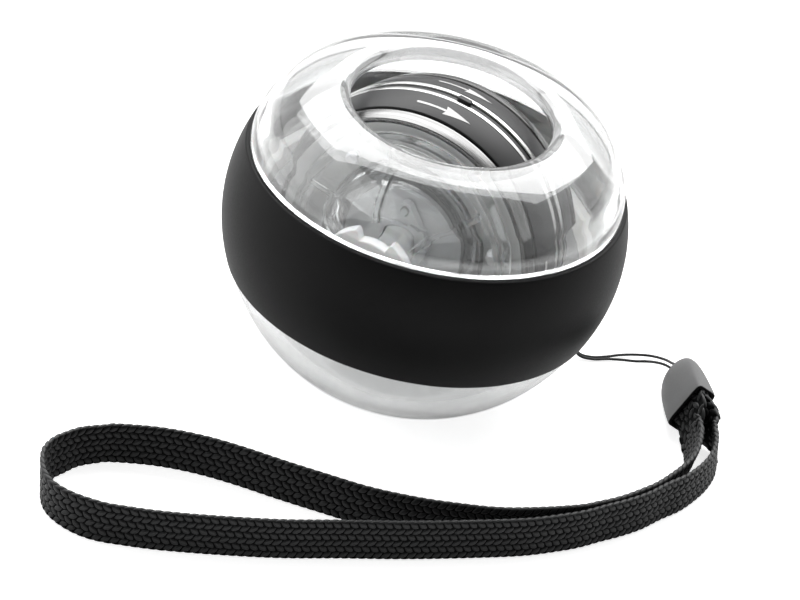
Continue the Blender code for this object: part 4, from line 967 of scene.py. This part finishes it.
class WRISTBALL_OT_strap(bpy.types.Operator):
    """Build the braided wrist strap on its edge, with its yarns"""

    bl_idname = "wristball.strap"
    bl_label = "Strap"

    def execute(self, context):
        _, _, lanyard, finishes = sizes()
        # Painted shade: the core, seen in the gaps between the yarn floats, is a darker copy of the yarn's
        # colour.
        shaded_core_finish = moulded("strap_core_shaded", tuple(0.6 * channel for channel in finishes.yarn), rough=0.75,
                              grain_size=0.2 * MM, depth=0.02 * MM, Specular_IOR_Level=0.1)
        route, total = smooth_route(strap_route(lanyard.strap_width), STRAP_POINTS)
        spacing = total / (len(route) - 1)
        tilts = [strap_tilt(i * spacing, total) for i in range(len(route))]
        edge = (lanyard.strap_thickness - STRAP_CORE_THINNING) / 2
        half_height = lanyard.strap_width / 2 - STRAP_CORE_NARROWING - edge
        data = open_curve("strap_loop_core", route, edge, shaded_core_finish, half_height, tilts)
        core = shown("strap_loop_core", "housing", data, ("strap_loop",))
        braid = scattered(yarn_float(), braid_places(lanyard))
        for point in braid.verts:
            point.co.z = max(point.co.z, BRAID_FLOOR_GAP)
        braid_piece = finished("strap_braid", "housing", braid, yarn_finish("black_yarn", finishes.yarn),
                               sharp=180.0, tidy=False)
        return {"FINISHED"}


class WRISTBALL_OT_string(bpy.types.Operator):
    """Build the thin string through the bowl's two holes, and its knot in the cap"""

    bl_idname = "wristball.string"
    bl_label = "String"

    def execute(self, context):
        ball, _, lanyard, finishes = sizes()
        finish = moulded("string_yarn", finishes.yarn, rough=0.55, grain_size=0.12 * MM, depth=0.03 * MM,
                         variation=0.3, Sheen_Weight=0.2)
        route = string_route(ball, lanyard)
        string = shown("string", "housing", open_curve("string", route, lanyard.string / 2, finish),
                       ("string_loop",))
        turns = open_curve("string_knot_turns", self.knot_route(lanyard), lanyard.string / 2, finish)
        knot = shown("string_knot_turns", "housing", turns, ("string_knot",))
        return {"FINISHED"}

    def knot_route(self, lanyard):
        """A three-lobed knot below the cap's crown, left open where it would meet itself."""
        count = 97
        size = 0.26 * MM
        _, _, ahead = cap_frame()
        centre = CAP_MOUTH + ahead * (lanyard.cap_length - SEAT_GAP - 3.0 * MM)
        angles = [math.tau * i / count for i in range(count)]
        return [centre + Vector((math.sin(t) + 2 * math.sin(2 * t), math.cos(t) - 2 * math.cos(2 * t),
                                 -1.2 * math.sin(3 * t))) * size for t in angles]


class WRISTBALL_OT_cap(bpy.types.Operator):
    """Build the grey cap between the string and the strap"""

    bl_idname = "wristball.cap"
    bl_label = "Cap"

    def execute(self, context):
        _, _, lanyard, finishes = sizes()
        finish = moulded("cap_plastic", finishes.cap, rough=0.42, grain_size=0.35 * MM, depth=0.012 * MM,
                         variation=0.06, Specular_IOR_Level=0.5)
        # Painted shade: the cap's inside and its mouth are near black, for the shade in its hollow.
        inside_shade = moulded("cap_inside_shade", (0.006, 0.006, 0.006), rough=0.7, grain_size=0.2 * MM,
                         depth=0.01 * MM, variation=0.3, Specular_IOR_Level=0.1)
        rings, outer_count = self.outline_rings(lanyard)
        bell = bmesh.new()
        bmesh.ops.create_circle(bell, cap_ends=False, segments=96, radius=1.0)
        around = bell.verts.layers.float.new("around")
        for point in bell.verts:
            point[around] = math.atan2(point.co.y, point.co.x)
        first = bell.edges[:]
        self.settle(bell.verts[:], around, rings[0])
        loop = first
        for place, row in enumerate(rings[1:]):
            grown = bmesh.ops.extrude_edge_only(bell, edges=loop)["geom"]
            # Faces past the outer rings, inside the cap, take the painted shade.
            for face in only(BMFace, grown):
                face.material_index = 0 if place < outer_count else 1
            self.settle(only(BMVert, grown), around, row)
            loop = only(BMEdge, grown)
        loop = [edge for edge in loop if edge.is_boundary]
        for face in bmesh.ops.bridge_loops(bell, edges=first + loop)["faces"]:
            face.material_index = 1
        piece = finished("cap", "housing", bell, finish, nodes=("lanyard_cap",),
                         sharp=50.0)
        piece.data.materials.append(inside_shade)
        return {"FINISHED"}

    def outline_rings(self, lanyard):
        """Rings as (distance, half width, half thickness, squareness), over the crown and back inside."""
        steps = 26
        fullest = 0.974

        def ring(share, wall=0.0, shortening=0.0):
            size = (1.0 - share ** CAP_FULLNESS) ** (1.0 / CAP_FULLNESS)
            squareness = CAP_MOUTH_SQUARENESS + (1.0 - CAP_MOUTH_SQUARENESS) * share ** 1.5
            return (share * (lanyard.cap_length - CAP_CROWN_DROP - shortening),
                    lanyard.cap_width / 2 * size - wall,
                    lanyard.cap_thickness / 2 * (0.25 + 0.75 * size) - wall, squareness)

        shares = [fullest * math.sin(math.pi / 2 * i / steps) for i in range(1, steps + 1)]
        _, mouth_wide, mouth_thin, mouth_square = ring(0.0)
        rings = [(CAP_LIP * rise, mouth_wide - CAP_LIP * inset, mouth_thin - CAP_LIP * inset, mouth_square)
                 for rise, inset in ((0.0, 1.0), (0.3, 0.3))]
        rings += [ring(max(share, CAP_LIP / lanyard.cap_length)) for share in shares]
        crown = rings[-1][0]
        rings += [(crown, *CAP_EYE, 1.0), (crown - CAP_CROWN_WALL, *CAP_EYE, 1.0)]
        rings += [ring(share, CAP_WALL, CAP_CROWN_WALL + SEAT_GAP) for share in reversed(shares[:-4])]
        return rings + [ring(0.0, CAP_WALL)], len(shares) + 2

    def settle(self, points, around, row):
        """Bring a ring's points to their row of the outline."""
        wide, thin, ahead = cap_frame()
        along, half_wide, half_thin, squareness = row
        for point in points:
            x = math.cos(point[around])
            y = math.sin(point[around])
            x = math.copysign(abs(x) ** squareness, x) * half_wide
            y = math.copysign(abs(y) ** squareness, y) * half_thin
            point.co = CAP_MOUTH + wide * x + thin * y + ahead * along


# Shells and band


def seat_radius(ball):
    """Radius of the shells under the grip band."""
    return ball.radius - ball.band_thickness - SEAT_GAP


def race(side, ball):
    """Inner race of a shell, from the parting plane inwards and up."""
    part = SEAT_GAP / 2
    step = RACE_BORE - RACE_LEDGE_DEPTH
    rows = [(seat_radius(ball), part), (RACE_RECESS, part), (RACE_RECESS, RACE_RECESS_HEIGHT),
            (RACE_BORE, RACE_RECESS_HEIGHT), (RACE_BORE, RACE_LEDGE_HEIGHT), (step, RACE_LEDGE_HEIGHT),
            (step, RACE_LEDGE_HEIGHT + RACE_WALL_HEIGHT)]
    return [(radius, side * height) for radius, height in rows]


class WRISTBALL_OT_shells(bpy.types.Operator):
    """Build the clear upper dome with its lip and the clear lower bowl"""

    bl_idname = "wristball.shells"
    bl_label = "Shells"

    def execute(self, context):
        ball, _, _, finishes = sizes()
        clear = clear_plastic("clear_polycarbonate", finishes.clear, rough=0.010, bend=1.24, edge_shade=0.74)
        # Painted shade: the throat's inner wall gets a much darker copy of the clear plastic.
        shaded_lip_tint = tuple(0.22 * channel for channel in finishes.clear)
        lip = clear_plastic("shaded_clear_lip", shaded_lip_tint, rough=0.06, bend=1.24, edge_shade=1.0)
        dome = finished("upper_dome", "housing", lathe(self.upper_outline(ball)), clear, BALL_PLACE,
                        ("upper_shell",), 50.0)
        dome.data.materials.append(lip)
        # Faces of the throat's inner wall, above GREY_LIP_START, take the painted shade.
        for face in dome.data.polygons:
            inwards = face.normal.x * face.center.x + face.normal.y * face.center.y
            if inwards < -0.4 * ball.throat and face.center.z > EQUATOR.z + GREY_LIP_START:
                face.material_index = 1
        bowl = finished("lower_bowl", "housing", lathe(self.lower_outline(ball)), clear, BALL_PLACE,
                        ("lower_shell",), 50.0)
        turn = Vector((0, 0, 1)).rotation_difference(hole_direction(ball.bowl_radius)).to_matrix().to_4x4()
        drills = [tool_object(rod(HOLE_RADIUS, -HOLE_DRILL_DEPTH, HOLE_DRILL_RISE),
                              Matrix.Translation(place) @ turn) for place in hole_places(ball.bowl_radius)]
        combined(bowl, drills, "DIFFERENCE")
        bowl.data.set_sharp_from_angle(angle=math.radians(50.0))
        return {"FINISHED"}

    def upper_outline(self, ball):
        """Outline of the dome, from the race up to the lip, down the dome and in under the band."""
        collar_base = ball.band_top + SEAT_GAP
        inside = arc((ball.throat + THROAT_MARGIN, DOME_INSIDE_HEIGHT), DOME_INSIDE_REACH, DOME_INSIDE_RISE,
                     0, 90, 24)
        lip = arc((ball.lip_crest, LIP_SHOULDER), ball.lip_crest - ball.throat,
                  ball.lip_height - LIP_SHOULDER, 180, 90, 14)
        rise = (ball.lip_height - DOME_FOOT_HEIGHT) / (1 - DOME_FOOT_SINE)
        reach = (DOME_FOOT_RADIUS - ball.lip_crest) / math.sqrt(1 - DOME_FOOT_SINE ** 2)
        centre = (ball.lip_crest, ball.lip_height - rise)
        dome = arc(centre, reach, rise, 90, math.degrees(math.asin(DOME_FOOT_SINE)), 28)
        drop = DOME_FOOT_HEIGHT - collar_base
        insets_and_drops = ((0.84, 0.08), (0.48, 0.26), (0.24, 0.47), (0.08, 0.71), (0.0, 1.0))
        collar_points = [Vector((COLLAR_RADIUS - inset * COLLAR_INSET, DOME_FOOT_HEIGHT - share * drop, 0.0))
                         for inset, share in insets_and_drops]
        collar = [(point.x, point.y) for point in smooth_route(collar_points, 16)[0]]
        bottom = ball_arc(seat_radius(ball), collar_base, SEAT_GAP / 2, 6)
        edge = [(ball.throat, THROAT_EDGE)]
        return race(1, ball)[1:] + inside + edge + lip + dome[1:] + collar + bottom

    def lower_outline(self, ball):
        """Outline of the bowl, from the axis up inside it, and from under the band down to the axis."""
        step = -ball.band_drop - SEAT_GAP
        base = -EQUATOR.z
        inside = ball_arc(ball.bowl_radius - ball.wall, base + ball.floor, BOWL_INSIDE_TOP, 40)
        wall = race(-1, ball)[::-1]
        under = ball_arc(seat_radius(ball), -SEAT_GAP / 2, step, 6)
        bowl = ball_arc(ball.bowl_radius, step, base + BASE_EDGE, 40)
        foot = bowl[-1][0]
        rim = [(foot - BASE_EDGE, base + BASE_EDGE_HEIGHT), (foot - BASE_EDGE_WIDTH, base)]
        return [(0.0, base + ball.floor)] + inside + wall[:-1] + under + bowl + rim + [(0.0, base)]


class WRISTBALL_OT_grip_band(bpy.types.Operator):
    """Build the soft grip band round the equator"""

    bl_idname = "wristball.grip_band"
    bl_label = "Grip Band"

    def execute(self, context):
        ball, _, _, finishes = sizes()
        rubber = moulded("soft_touch_rubber", finishes.rubber, rough=0.46, grain_size=0.35 * MM,
                         depth=0.010 * MM, variation=0.10, Specular_IOR_Level=0.12)
        middle = (ball.band_top - ball.band_drop) / 2
        half = (ball.band_top + ball.band_drop) / 2
        outer = [(radius + BAND_SWELL * (1 - ((height - middle) / half) ** 2), height)
                 for radius, height in ball_arc(ball.radius, -ball.band_drop, ball.band_top, 36)]
        inner = ball_arc(ball.radius - ball.band_thickness, ball.band_top, -ball.band_drop, 16)
        corners = {0, len(outer) - 1, len(outer), len(outer + inner) - 1}
        outline = soft_corners(outer + inner, corners, BAND_CORNER)
        finished("grip_cover", "housing", lathe(outline), rubber, BALL_PLACE, ("grip_band",),
                 60.0)
        return {"FINISHED"}


def soft_corners(outline, corners, radius):
    """Round chosen corners of an outline, using up the short edges beside them."""
    kept = [point for i, point in enumerate(outline)
            if i in corners or all((Vector(outline[j]) - Vector(point)).length >= radius for j in corners)]
    fixed = {kept.index(outline[j]) for j in corners}
    return rounded(kept, radius, 5, [i for i in range(len(kept)) if i not in fixed])


# Rotor


def rim_outline(rotor):
    """Outer edge of one flywheel half, from the middle groove to its dish."""
    seat = rotor.crown - LABEL_THICKNESS - SEAT_GAP
    lip = FLANGE_RADIUS - FLANGE_DROP
    return [
        (GROOVE_FLOOR, SEAT_GAP / 2), (GROOVE_FLOOR, rotor.groove_half),
        (rotor.crown, rotor.groove_half),
        (rotor.crown, rotor.crown_half), (seat, rotor.crown_half),
        (seat - rotor.band_drop, rotor.band_edge), (seat - GUTTER_DEPTH, rotor.band_edge + SEAT_GAP),
        (seat - GUTTER_DEPTH, FLANGE_START), (FLANGE_RADIUS, FLANGE_START), (lip, FLANGE_END),
        (lip - FLANGE_FACE, FLANGE_END), (lip - FLANGE_FACE - DISH_EDGE_WIDTH, FLANGE_END - DISH_EDGE_DROP),
        (COVER_RADIUS + COVER_SIDE_GAP, FLANGE_END - DISH_DEPTH),
    ]


def screw_drills(bottom, top):
    """Tools for the cover's three screw holes."""
    drills = []
    for i in range(3):
        centre = Matrix.Rotation(SCREW_TURN + math.tau * i / 3, 4, "Z") @ Vector((SCREW_CIRCLE, 0, 0))
        drill = rod(SCREW_RADIUS, bottom, top, 24)
        drills.append(tool_object(drill, ROTOR_PLACE @ Matrix.Translation(centre)))
    return drills


class WRISTBALL_OT_flywheel(bpy.types.Operator):
    """Build the two turned metal halves of the flywheel"""

    bl_idname = "wristball.flywheel"
    bl_label = "Flywheel"

    def execute(self, context):
        _, rotor, _, finishes = sizes()
        zinc = turned_metal("turned_zinc", finishes.zinc, rough=0.24, ring_size=0.13 * MM, depth=0.006 * MM)
        bore = AXLE_RADIUS + SEAT_GAP
        outer = rim_outline(rotor)
        hollow = [(COVER_RADIUS + SEAT_GAP, COVER_SEAT), (WELL_RADIUS, COVER_SEAT), (WELL_RADIUS, WELL_FLOOR),
                  (bore, WELL_FLOOR), (bore, SEAT_GAP / 2)]
        half = finished("flywheel_start", "rotor", lathe(rounded(outer + hollow, METAL_ROUND)), zinc,
                        ROTOR_PLACE, ("flywheel_start_half",))
        combined(half, screw_drills(COVER_SEAT - SCREW_DEPTH, COVER_SEAT + OVERCUT), "DIFFERENCE")
        half.data.set_sharp_from_angle(angle=math.radians(40.0))
        base = FLANGE_END - DISH_DEPTH
        reach, rise, hub_radius = 19.4 * MM, 8.9 * MM, 4.5 * MM
        hub = base + rise + 0.8 * MM
        dome = arc((0.0, base), reach, rise, 0, math.degrees(math.acos(hub_radius / reach)), 32)
        rim = rounded(outer + [dome[0]], METAL_ROUND, keep=(len(outer),))
        top = rounded([dome[-1], (hub_radius, hub), (bore, hub), (bore, SEAT_GAP / 2)], 0.3 * MM, 4,
                      keep=(0, 3))
        plain = [(radius, -height) for radius, height in rim + dome[1:-1] + top]
        finished("flywheel_plain", "rotor", lathe(plain), zinc, ROTOR_PLACE, ("flywheel_plain_half",))
        return {"FINISHED"}


class WRISTBALL_OT_groove_ring(bpy.types.Operator):
    """Build the dark ring in the flywheel's groove and its moulded key"""

    bl_idname = "wristball.groove_ring"
    bl_label = "Groove Ring"

    def execute(self, context):
        _, rotor, _, finishes = sizes()
        rubber = moulded("groove_rubber", finishes.rubber, rough=0.45, grain_size=0.2 * MM, depth=0.01 * MM)
        half = rotor.groove_half - SEAT_GAP / 3
        inner = GROOVE_FLOOR + SEAT_GAP
        outer = rotor.crown - 0.3 * MM
        ring = rounded([(inner, -half), (outer, -half), (outer, half), (inner, half)], 0.15 * MM, 4)
        finished("groove_band", "rotor", lathe(ring), rubber, ROTOR_PLACE, ("groove_ring",))
        key_length, key_height, key_lift = 2.6 * MM, 0.85 * MM, 0.08 * MM
        key_turn = math.radians(-4.0)
        key = bmesh.new()
        bmesh.ops.create_cube(key, size=1.0,
                              matrix=Matrix.Diagonal((key_length, key_height, 2.0 * half, 1.0)))
        uprights = [edge for edge in key.edges
                    if abs(edge.verts[0].co.y - edge.verts[1].co.y) > 0.1 * key_height]
        bmesh.ops.bevel(key, geom=uprights, offset=0.35 * MM, segments=5, profile=0.5, affect="EDGES",
                        material=-1)
        bmesh.ops.bevel(key, geom=[edge for edge in key.edges if edge.calc_face_angle(0.0) > 0.7],
                        offset=0.15 * MM, segments=3, profile=0.5, affect="EDGES", material=-1)
        place = Matrix.Rotation(key_turn, 4, "Z") @ Matrix.Translation((0, rotor.crown + key_lift, 0))
        finished("groove_key", "rotor", key, rubber, ROTOR_PLACE @ place, ("groove_plug",),
                 60.0)
        return {"FINISHED"}


class WRISTBALL_OT_arrow_bands(bpy.types.Operator):
    """Build the two printed bands and their direction arrows"""

    bl_idname = "wristball.arrow_bands"
    bl_label = "Arrow Bands"

    def execute(self, context):
        _, rotor, _, finishes = sizes()
        film = moulded("printed_film", finishes.print_grey, rough=0.42, grain_size=0.3 * MM,
                       depth=0.006 * MM, variation=0.08, Specular_IOR_Level=0.35)
        ink = moulded("arrow_ink", finishes.arrow, rough=0.45, grain_size=0.3 * MM, depth=0.004 * MM,
                      variation=0.04)
        inner = rotor.crown - LABEL_THICKNESS
        start = rotor.crown_half + SEAT_GAP / 3
        for half, side in (("start", 1), ("plain", -1)):
            outline = [(inner, side * start), (rotor.crown, side * start),
                       (rotor.crown - rotor.band_drop, side * rotor.band_edge),
                       (inner - rotor.band_drop, side * rotor.band_edge)]
            finished(f"printed_band_{half}", "rotor", lathe(rounded(outline, 0.06 * MM, 2)), film,
                     ROTOR_PLACE, (f"arrow_band_{half}",))
            arrows = bmesh.new()
            for i in range(rotor.arrows):
                self.add_arrow(arrows, rotor, side, math.tau * i / rotor.arrows)
            finished(f"arrows_{half}", "rotor", arrows, ink, ROTOR_PLACE)
        return {"FINISHED"}

    def add_arrow(self, arrows, rotor, side, turn):
        """Add an arrow, drawn flat as (angle in degrees, distance along the axle) and bent onto the band."""
        tail, neck, barb, tip = -11.5, 1.0, 0.4, 12.0
        shaft, head = 0.22 * MM, 1.02 * MM
        outline = [(tail, -shaft), (neck, -shaft), (barb, -head), (tip, 0.0), (barb, head), (neck, shaft),
                   (tail, shaft), (tail - 0.5, 0.0)]
        sheet = bmesh.new()
        sheet.faces.new([sheet.verts.new((angle, height, 0.0)) for angle, height in outline])
        for cut in range(int(tail), int(tip) + 1):
            bmesh.ops.bisect_plane(sheet, geom=sheet.verts[:] + sheet.edges[:] + sheet.faces[:],
                                   plane_co=(cut + 0.5, 0, 0), plane_no=(1, 0, 0))
        bmesh.ops.triangulate(sheet, faces=sheet.faces)
        inner_edge = rotor.crown_half + SEAT_GAP
        middle = (inner_edge + rotor.band_edge) / 2
        slope = rotor.band_drop / (rotor.band_edge - inner_edge)
        grown = bmesh.ops.extrude_face_region(sheet, geom=sheet.faces[:])["geom"]
        raised = set(only(BMVert, grown))
        for point in sheet.verts:
            angle, across, _ = point.co
            along = middle + side * across
            radius = rotor.crown - slope * (along - inner_edge)
            radius += ARROW_RELIEF if point in raised else -ARROW_RELIEF
            sweep = math.pi / 2 - math.radians(angle) - turn
            point.co = (radius * math.cos(sweep), radius * math.sin(sweep), side * along)
        mesh = as_mesh("arrow", sheet)
        arrows.from_mesh(mesh)
        bpy.data.meshes.remove(mesh)


class WRISTBALL_OT_start_cover(bpy.types.Operator):
    """Build the clear ribbed cover over the spring"""

    bl_idname = "wristball.start_cover"
    bl_label = "Start Cover"

    def execute(self, context):
        _, _, _, finishes = sizes()
        clear = clear_plastic("clear_cover", finishes.clear, rough=0.02, bend=1.32, edge_shade=0.80)
        base = COVER_SEAT + SEAT_GAP
        rim_top = base + 4.1 * MM
        rim_inner = COVER_RADIUS - 1.6 * MM
        flange_top = base + 1.0 * MM
        neck = 3.4 * MM
        reach, rise, neck_radius = 14.4 * MM, 11.2 * MM, 4.6 * MM
        neck_angle = math.degrees(math.acos(neck_radius / reach))
        dome = arc((0.0, flange_top), reach, rise, 0, neck_angle, 28)
        under = arc((0.0, base), reach - 1.2 * MM, rise - 0.2 * MM, neck_angle, 0, 28)
        top = dome[-1][1] + 0.4 * MM
        rim = rounded([(COVER_RADIUS, base), (COVER_RADIUS, rim_top), (rim_inner, rim_top),
                       (rim_inner, flange_top), dome[0]], 0.4 * MM, 4, keep=(0, 4))
        outline = rim + dome[1:] + [(neck_radius - 0.3 * MM, top), (neck, top), (neck, under[0][1])] + under
        cover = finished("clear_start_cover", "rotor", lathe(outline, COVER_STEPS), clear, ROTOR_PLACE,
                         ("start_cover",))
        combined(cover, self.ribs(dome, rim_inner, rim_top), "UNION")
        combined(cover, screw_drills(base - OVERCUT, flange_top + OVERCUT), "DIFFERENCE")
        cover.data.set_sharp_from_angle(angle=math.radians(45.0))
        return {"FINISHED"}

    def ribs(self, dome, rim_inner, rim_top):
        """Tools for the ribs that stand on the cover's dome and meet its rim."""
        count, first_turn, thickness = 6, math.radians(45.0), 1.0 * MM
        profile = [(rim_inner + 0.8 * MM, rim_top - 1.2 * MM), (rim_inner + 0.3 * MM, rim_top + 0.3 * MM)]
        profile += [(radius + 0.4 * MM, height + 1.2 * MM) for radius, height in dome[4:24]]
        profile += [(radius - 0.6 * MM, height - 0.6 * MM) for radius, height in reversed(dome[:24])]
        points = [(radius, -thickness / 2, height) for radius, height in profile]
        return [tool_object(prism(points, (0, thickness, 0)),
                            ROTOR_PLACE @ Matrix.Rotation(first_turn + math.tau * i / count, 4, "Z"))
                for i in range(count)]


class WRISTBALL_OT_start_disc(bpy.types.Operator):
    """Build the white notched start disc with soft edges"""

    bl_idname = "wristball.start_disc"
    bl_label = "Start Disc"

    def execute(self, context):
        _, _, _, finishes = sizes()
        white = moulded("white_plastic", finishes.white_plastic, rough=0.38, grain_size=0.4 * MM,
                        depth=0.006 * MM, variation=0.03, Subsurface_Weight=0.15, Subsurface_Scale=1.0 * MM)
        base, thick, bore = 22.0 * MM, 2.0 * MM, 1.7 * MM
        sleeve_radius, sleeve_base = 3.1 * MM, 9.9 * MM
        outline = [(radius * math.cos(angle), radius * math.sin(angle), base)
                   for radius, angle in self.notched_outline()]
        disc = prism(outline, (0, 0, thick))
        rims = [edge for edge in disc.edges if edge.calc_face_angle(0.0) > 1.0
                and abs(edge.verts[0].co.z - edge.verts[1].co.z) < 0.1 * thick]
        bmesh.ops.bevel(disc, geom=rims, offset=0.25 * MM, segments=3, profile=0.5, affect="EDGES",
                        material=-1)
        piece = finished("white_start_disc", "carrier", disc, white, ROTOR_PLACE, ("start_disc",))
        sleeve = rod(sleeve_radius, sleeve_base, base + thick - 0.2 * MM, 48)
        combined(piece, [tool_object(sleeve, ROTOR_PLACE)], "UNION")
        hole = rod(bore, sleeve_base - 0.9 * MM, base + thick + OVERCUT, 48)
        combined(piece, [tool_object(hole, ROTOR_PLACE)], "DIFFERENCE")
        piece.data.set_sharp_from_angle(angle=math.radians(45.0))
        return {"FINISHED"}

    def notched_outline(self):
        """Outline of the disc as (radius, angle): four lobes with softened corners, and four notches."""
        count, notch, reach, low = 4, math.radians(40.0), 8.8 * MM, 7.0 * MM
        corner_drop, corner_turn = 0.5 * MM, 0.02
        lobe = math.tau / count - notch
        outline = []
        for i in range(count):
            middle = math.tau * (i + 0.5) / count
            start, end = middle - lobe / 2, middle + lobe / 2
            outline += [(low, start), (reach - corner_drop, start + corner_turn)]
            outline += [(reach, middle + lobe * share) for share in (-0.43, -0.3, -0.15, 0, 0.15, 0.3, 0.43)]
            outline += [(reach - corner_drop, end - corner_turn), (low, end)]
            outline += [(low, end + notch * share) for share in (0.2, 0.4, 0.6, 0.8)]
        return outline


class WRISTBALL_OT_fittings(bpy.types.Operator):
    """Give the solids that stay as they are their finishes"""

    bl_idname = "wristball.fittings"
    bl_label = "Fittings"

    def execute(self, context):
        _, _, _, finishes = sizes()
        steel = turned_metal("ground_steel", (0.62, 0.62, 0.63), rough=0.25, ring_size=0.1 * MM,
                             depth=0.003 * MM)
        bronze = turned_metal("sintered_bronze", (0.55, 0.41, 0.24), rough=0.42, ring_size=0.25 * MM,
                              depth=0.01 * MM)
        nylon = moulded("natural_nylon", finishes.natural_plastic, rough=0.45, grain_size=0.4 * MM,
                        depth=0.01 * MM, variation=0.04, Subsurface_Weight=0.1, Subsurface_Scale=1.0 * MM)
        groups = {
            steel: ("axle", "retaining_clip", "cover_screw_1", "cover_screw_2", "cover_screw_3", "mainspring",
                    "spring_anchor", "pawl_1", "pawl_2", "ratchet_wheel", "spring_arbor"),
            bronze: ("tip_bush_start", "tip_bush_plain"),
            nylon: ("carrier_ring", "plain_spacer"),
        }
        for material, names in groups.items():
            for name in names:
                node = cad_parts[name]
                node.data.materials.clear()
                node.data.materials.append(material)
        return {"FINISHED"}


class WRISTBALL_PT_panel(bpy.types.Panel):
    """Lists the pieces and their sizes"""

    bl_idname = "WRISTBALL_PT_panel"
    bl_label = "Wrist Ball"
    bl_space_type = "VIEW_3D"
    bl_region_type = "UI"
    bl_category = "Wrist Ball"

    def draw(self, context):
        layout = self.layout
        for operator in OPERATORS:
            layout.operator(operator.bl_idname)
        for group_name in GROUPS:
            group = getattr(context.scene, group_name)
            box = layout.box()
            for name in group.__annotations__:
                box.prop(group, name)


GROUPS = {"ball_sizes": BallSizes, "rotor_sizes": RotorSizes, "lanyard_sizes": LanyardSizes,
          "ball_finishes": Finishes, "ball_studio": StudioSettings}
OPERATORS = (WRISTBALL_OT_stage, WRISTBALL_OT_strap, WRISTBALL_OT_string, WRISTBALL_OT_cap,
             WRISTBALL_OT_shells, WRISTBALL_OT_grip_band, WRISTBALL_OT_flywheel, WRISTBALL_OT_groove_ring,
             WRISTBALL_OT_arrow_bands, WRISTBALL_OT_start_cover, WRISTBALL_OT_start_disc,
             WRISTBALL_OT_fittings)


def register():
    for group in GROUPS.values():
        bpy.utils.register_class(group)
    for name, group in GROUPS.items():
        setattr(bpy.types.Scene, name, PointerProperty(type=group))
    for operator in OPERATORS:
        bpy.utils.register_class(operator)
    bpy.utils.register_class(WRISTBALL_PT_panel)


def unregister():
    bpy.utils.unregister_class(WRISTBALL_PT_panel)
    for operator in reversed(OPERATORS):
        bpy.utils.unregister_class(operator)
    for name in GROUPS:
        delattr(bpy.types.Scene, name)
    for group in reversed(list(GROUPS.values())):
        bpy.utils.unregister_class(group)


def main():
    register()
    for operator in OPERATORS:
        section, name = operator.bl_idname.split(".")
        getattr(getattr(bpy.ops, section), name)()


if __name__ == "__main__":
    main()
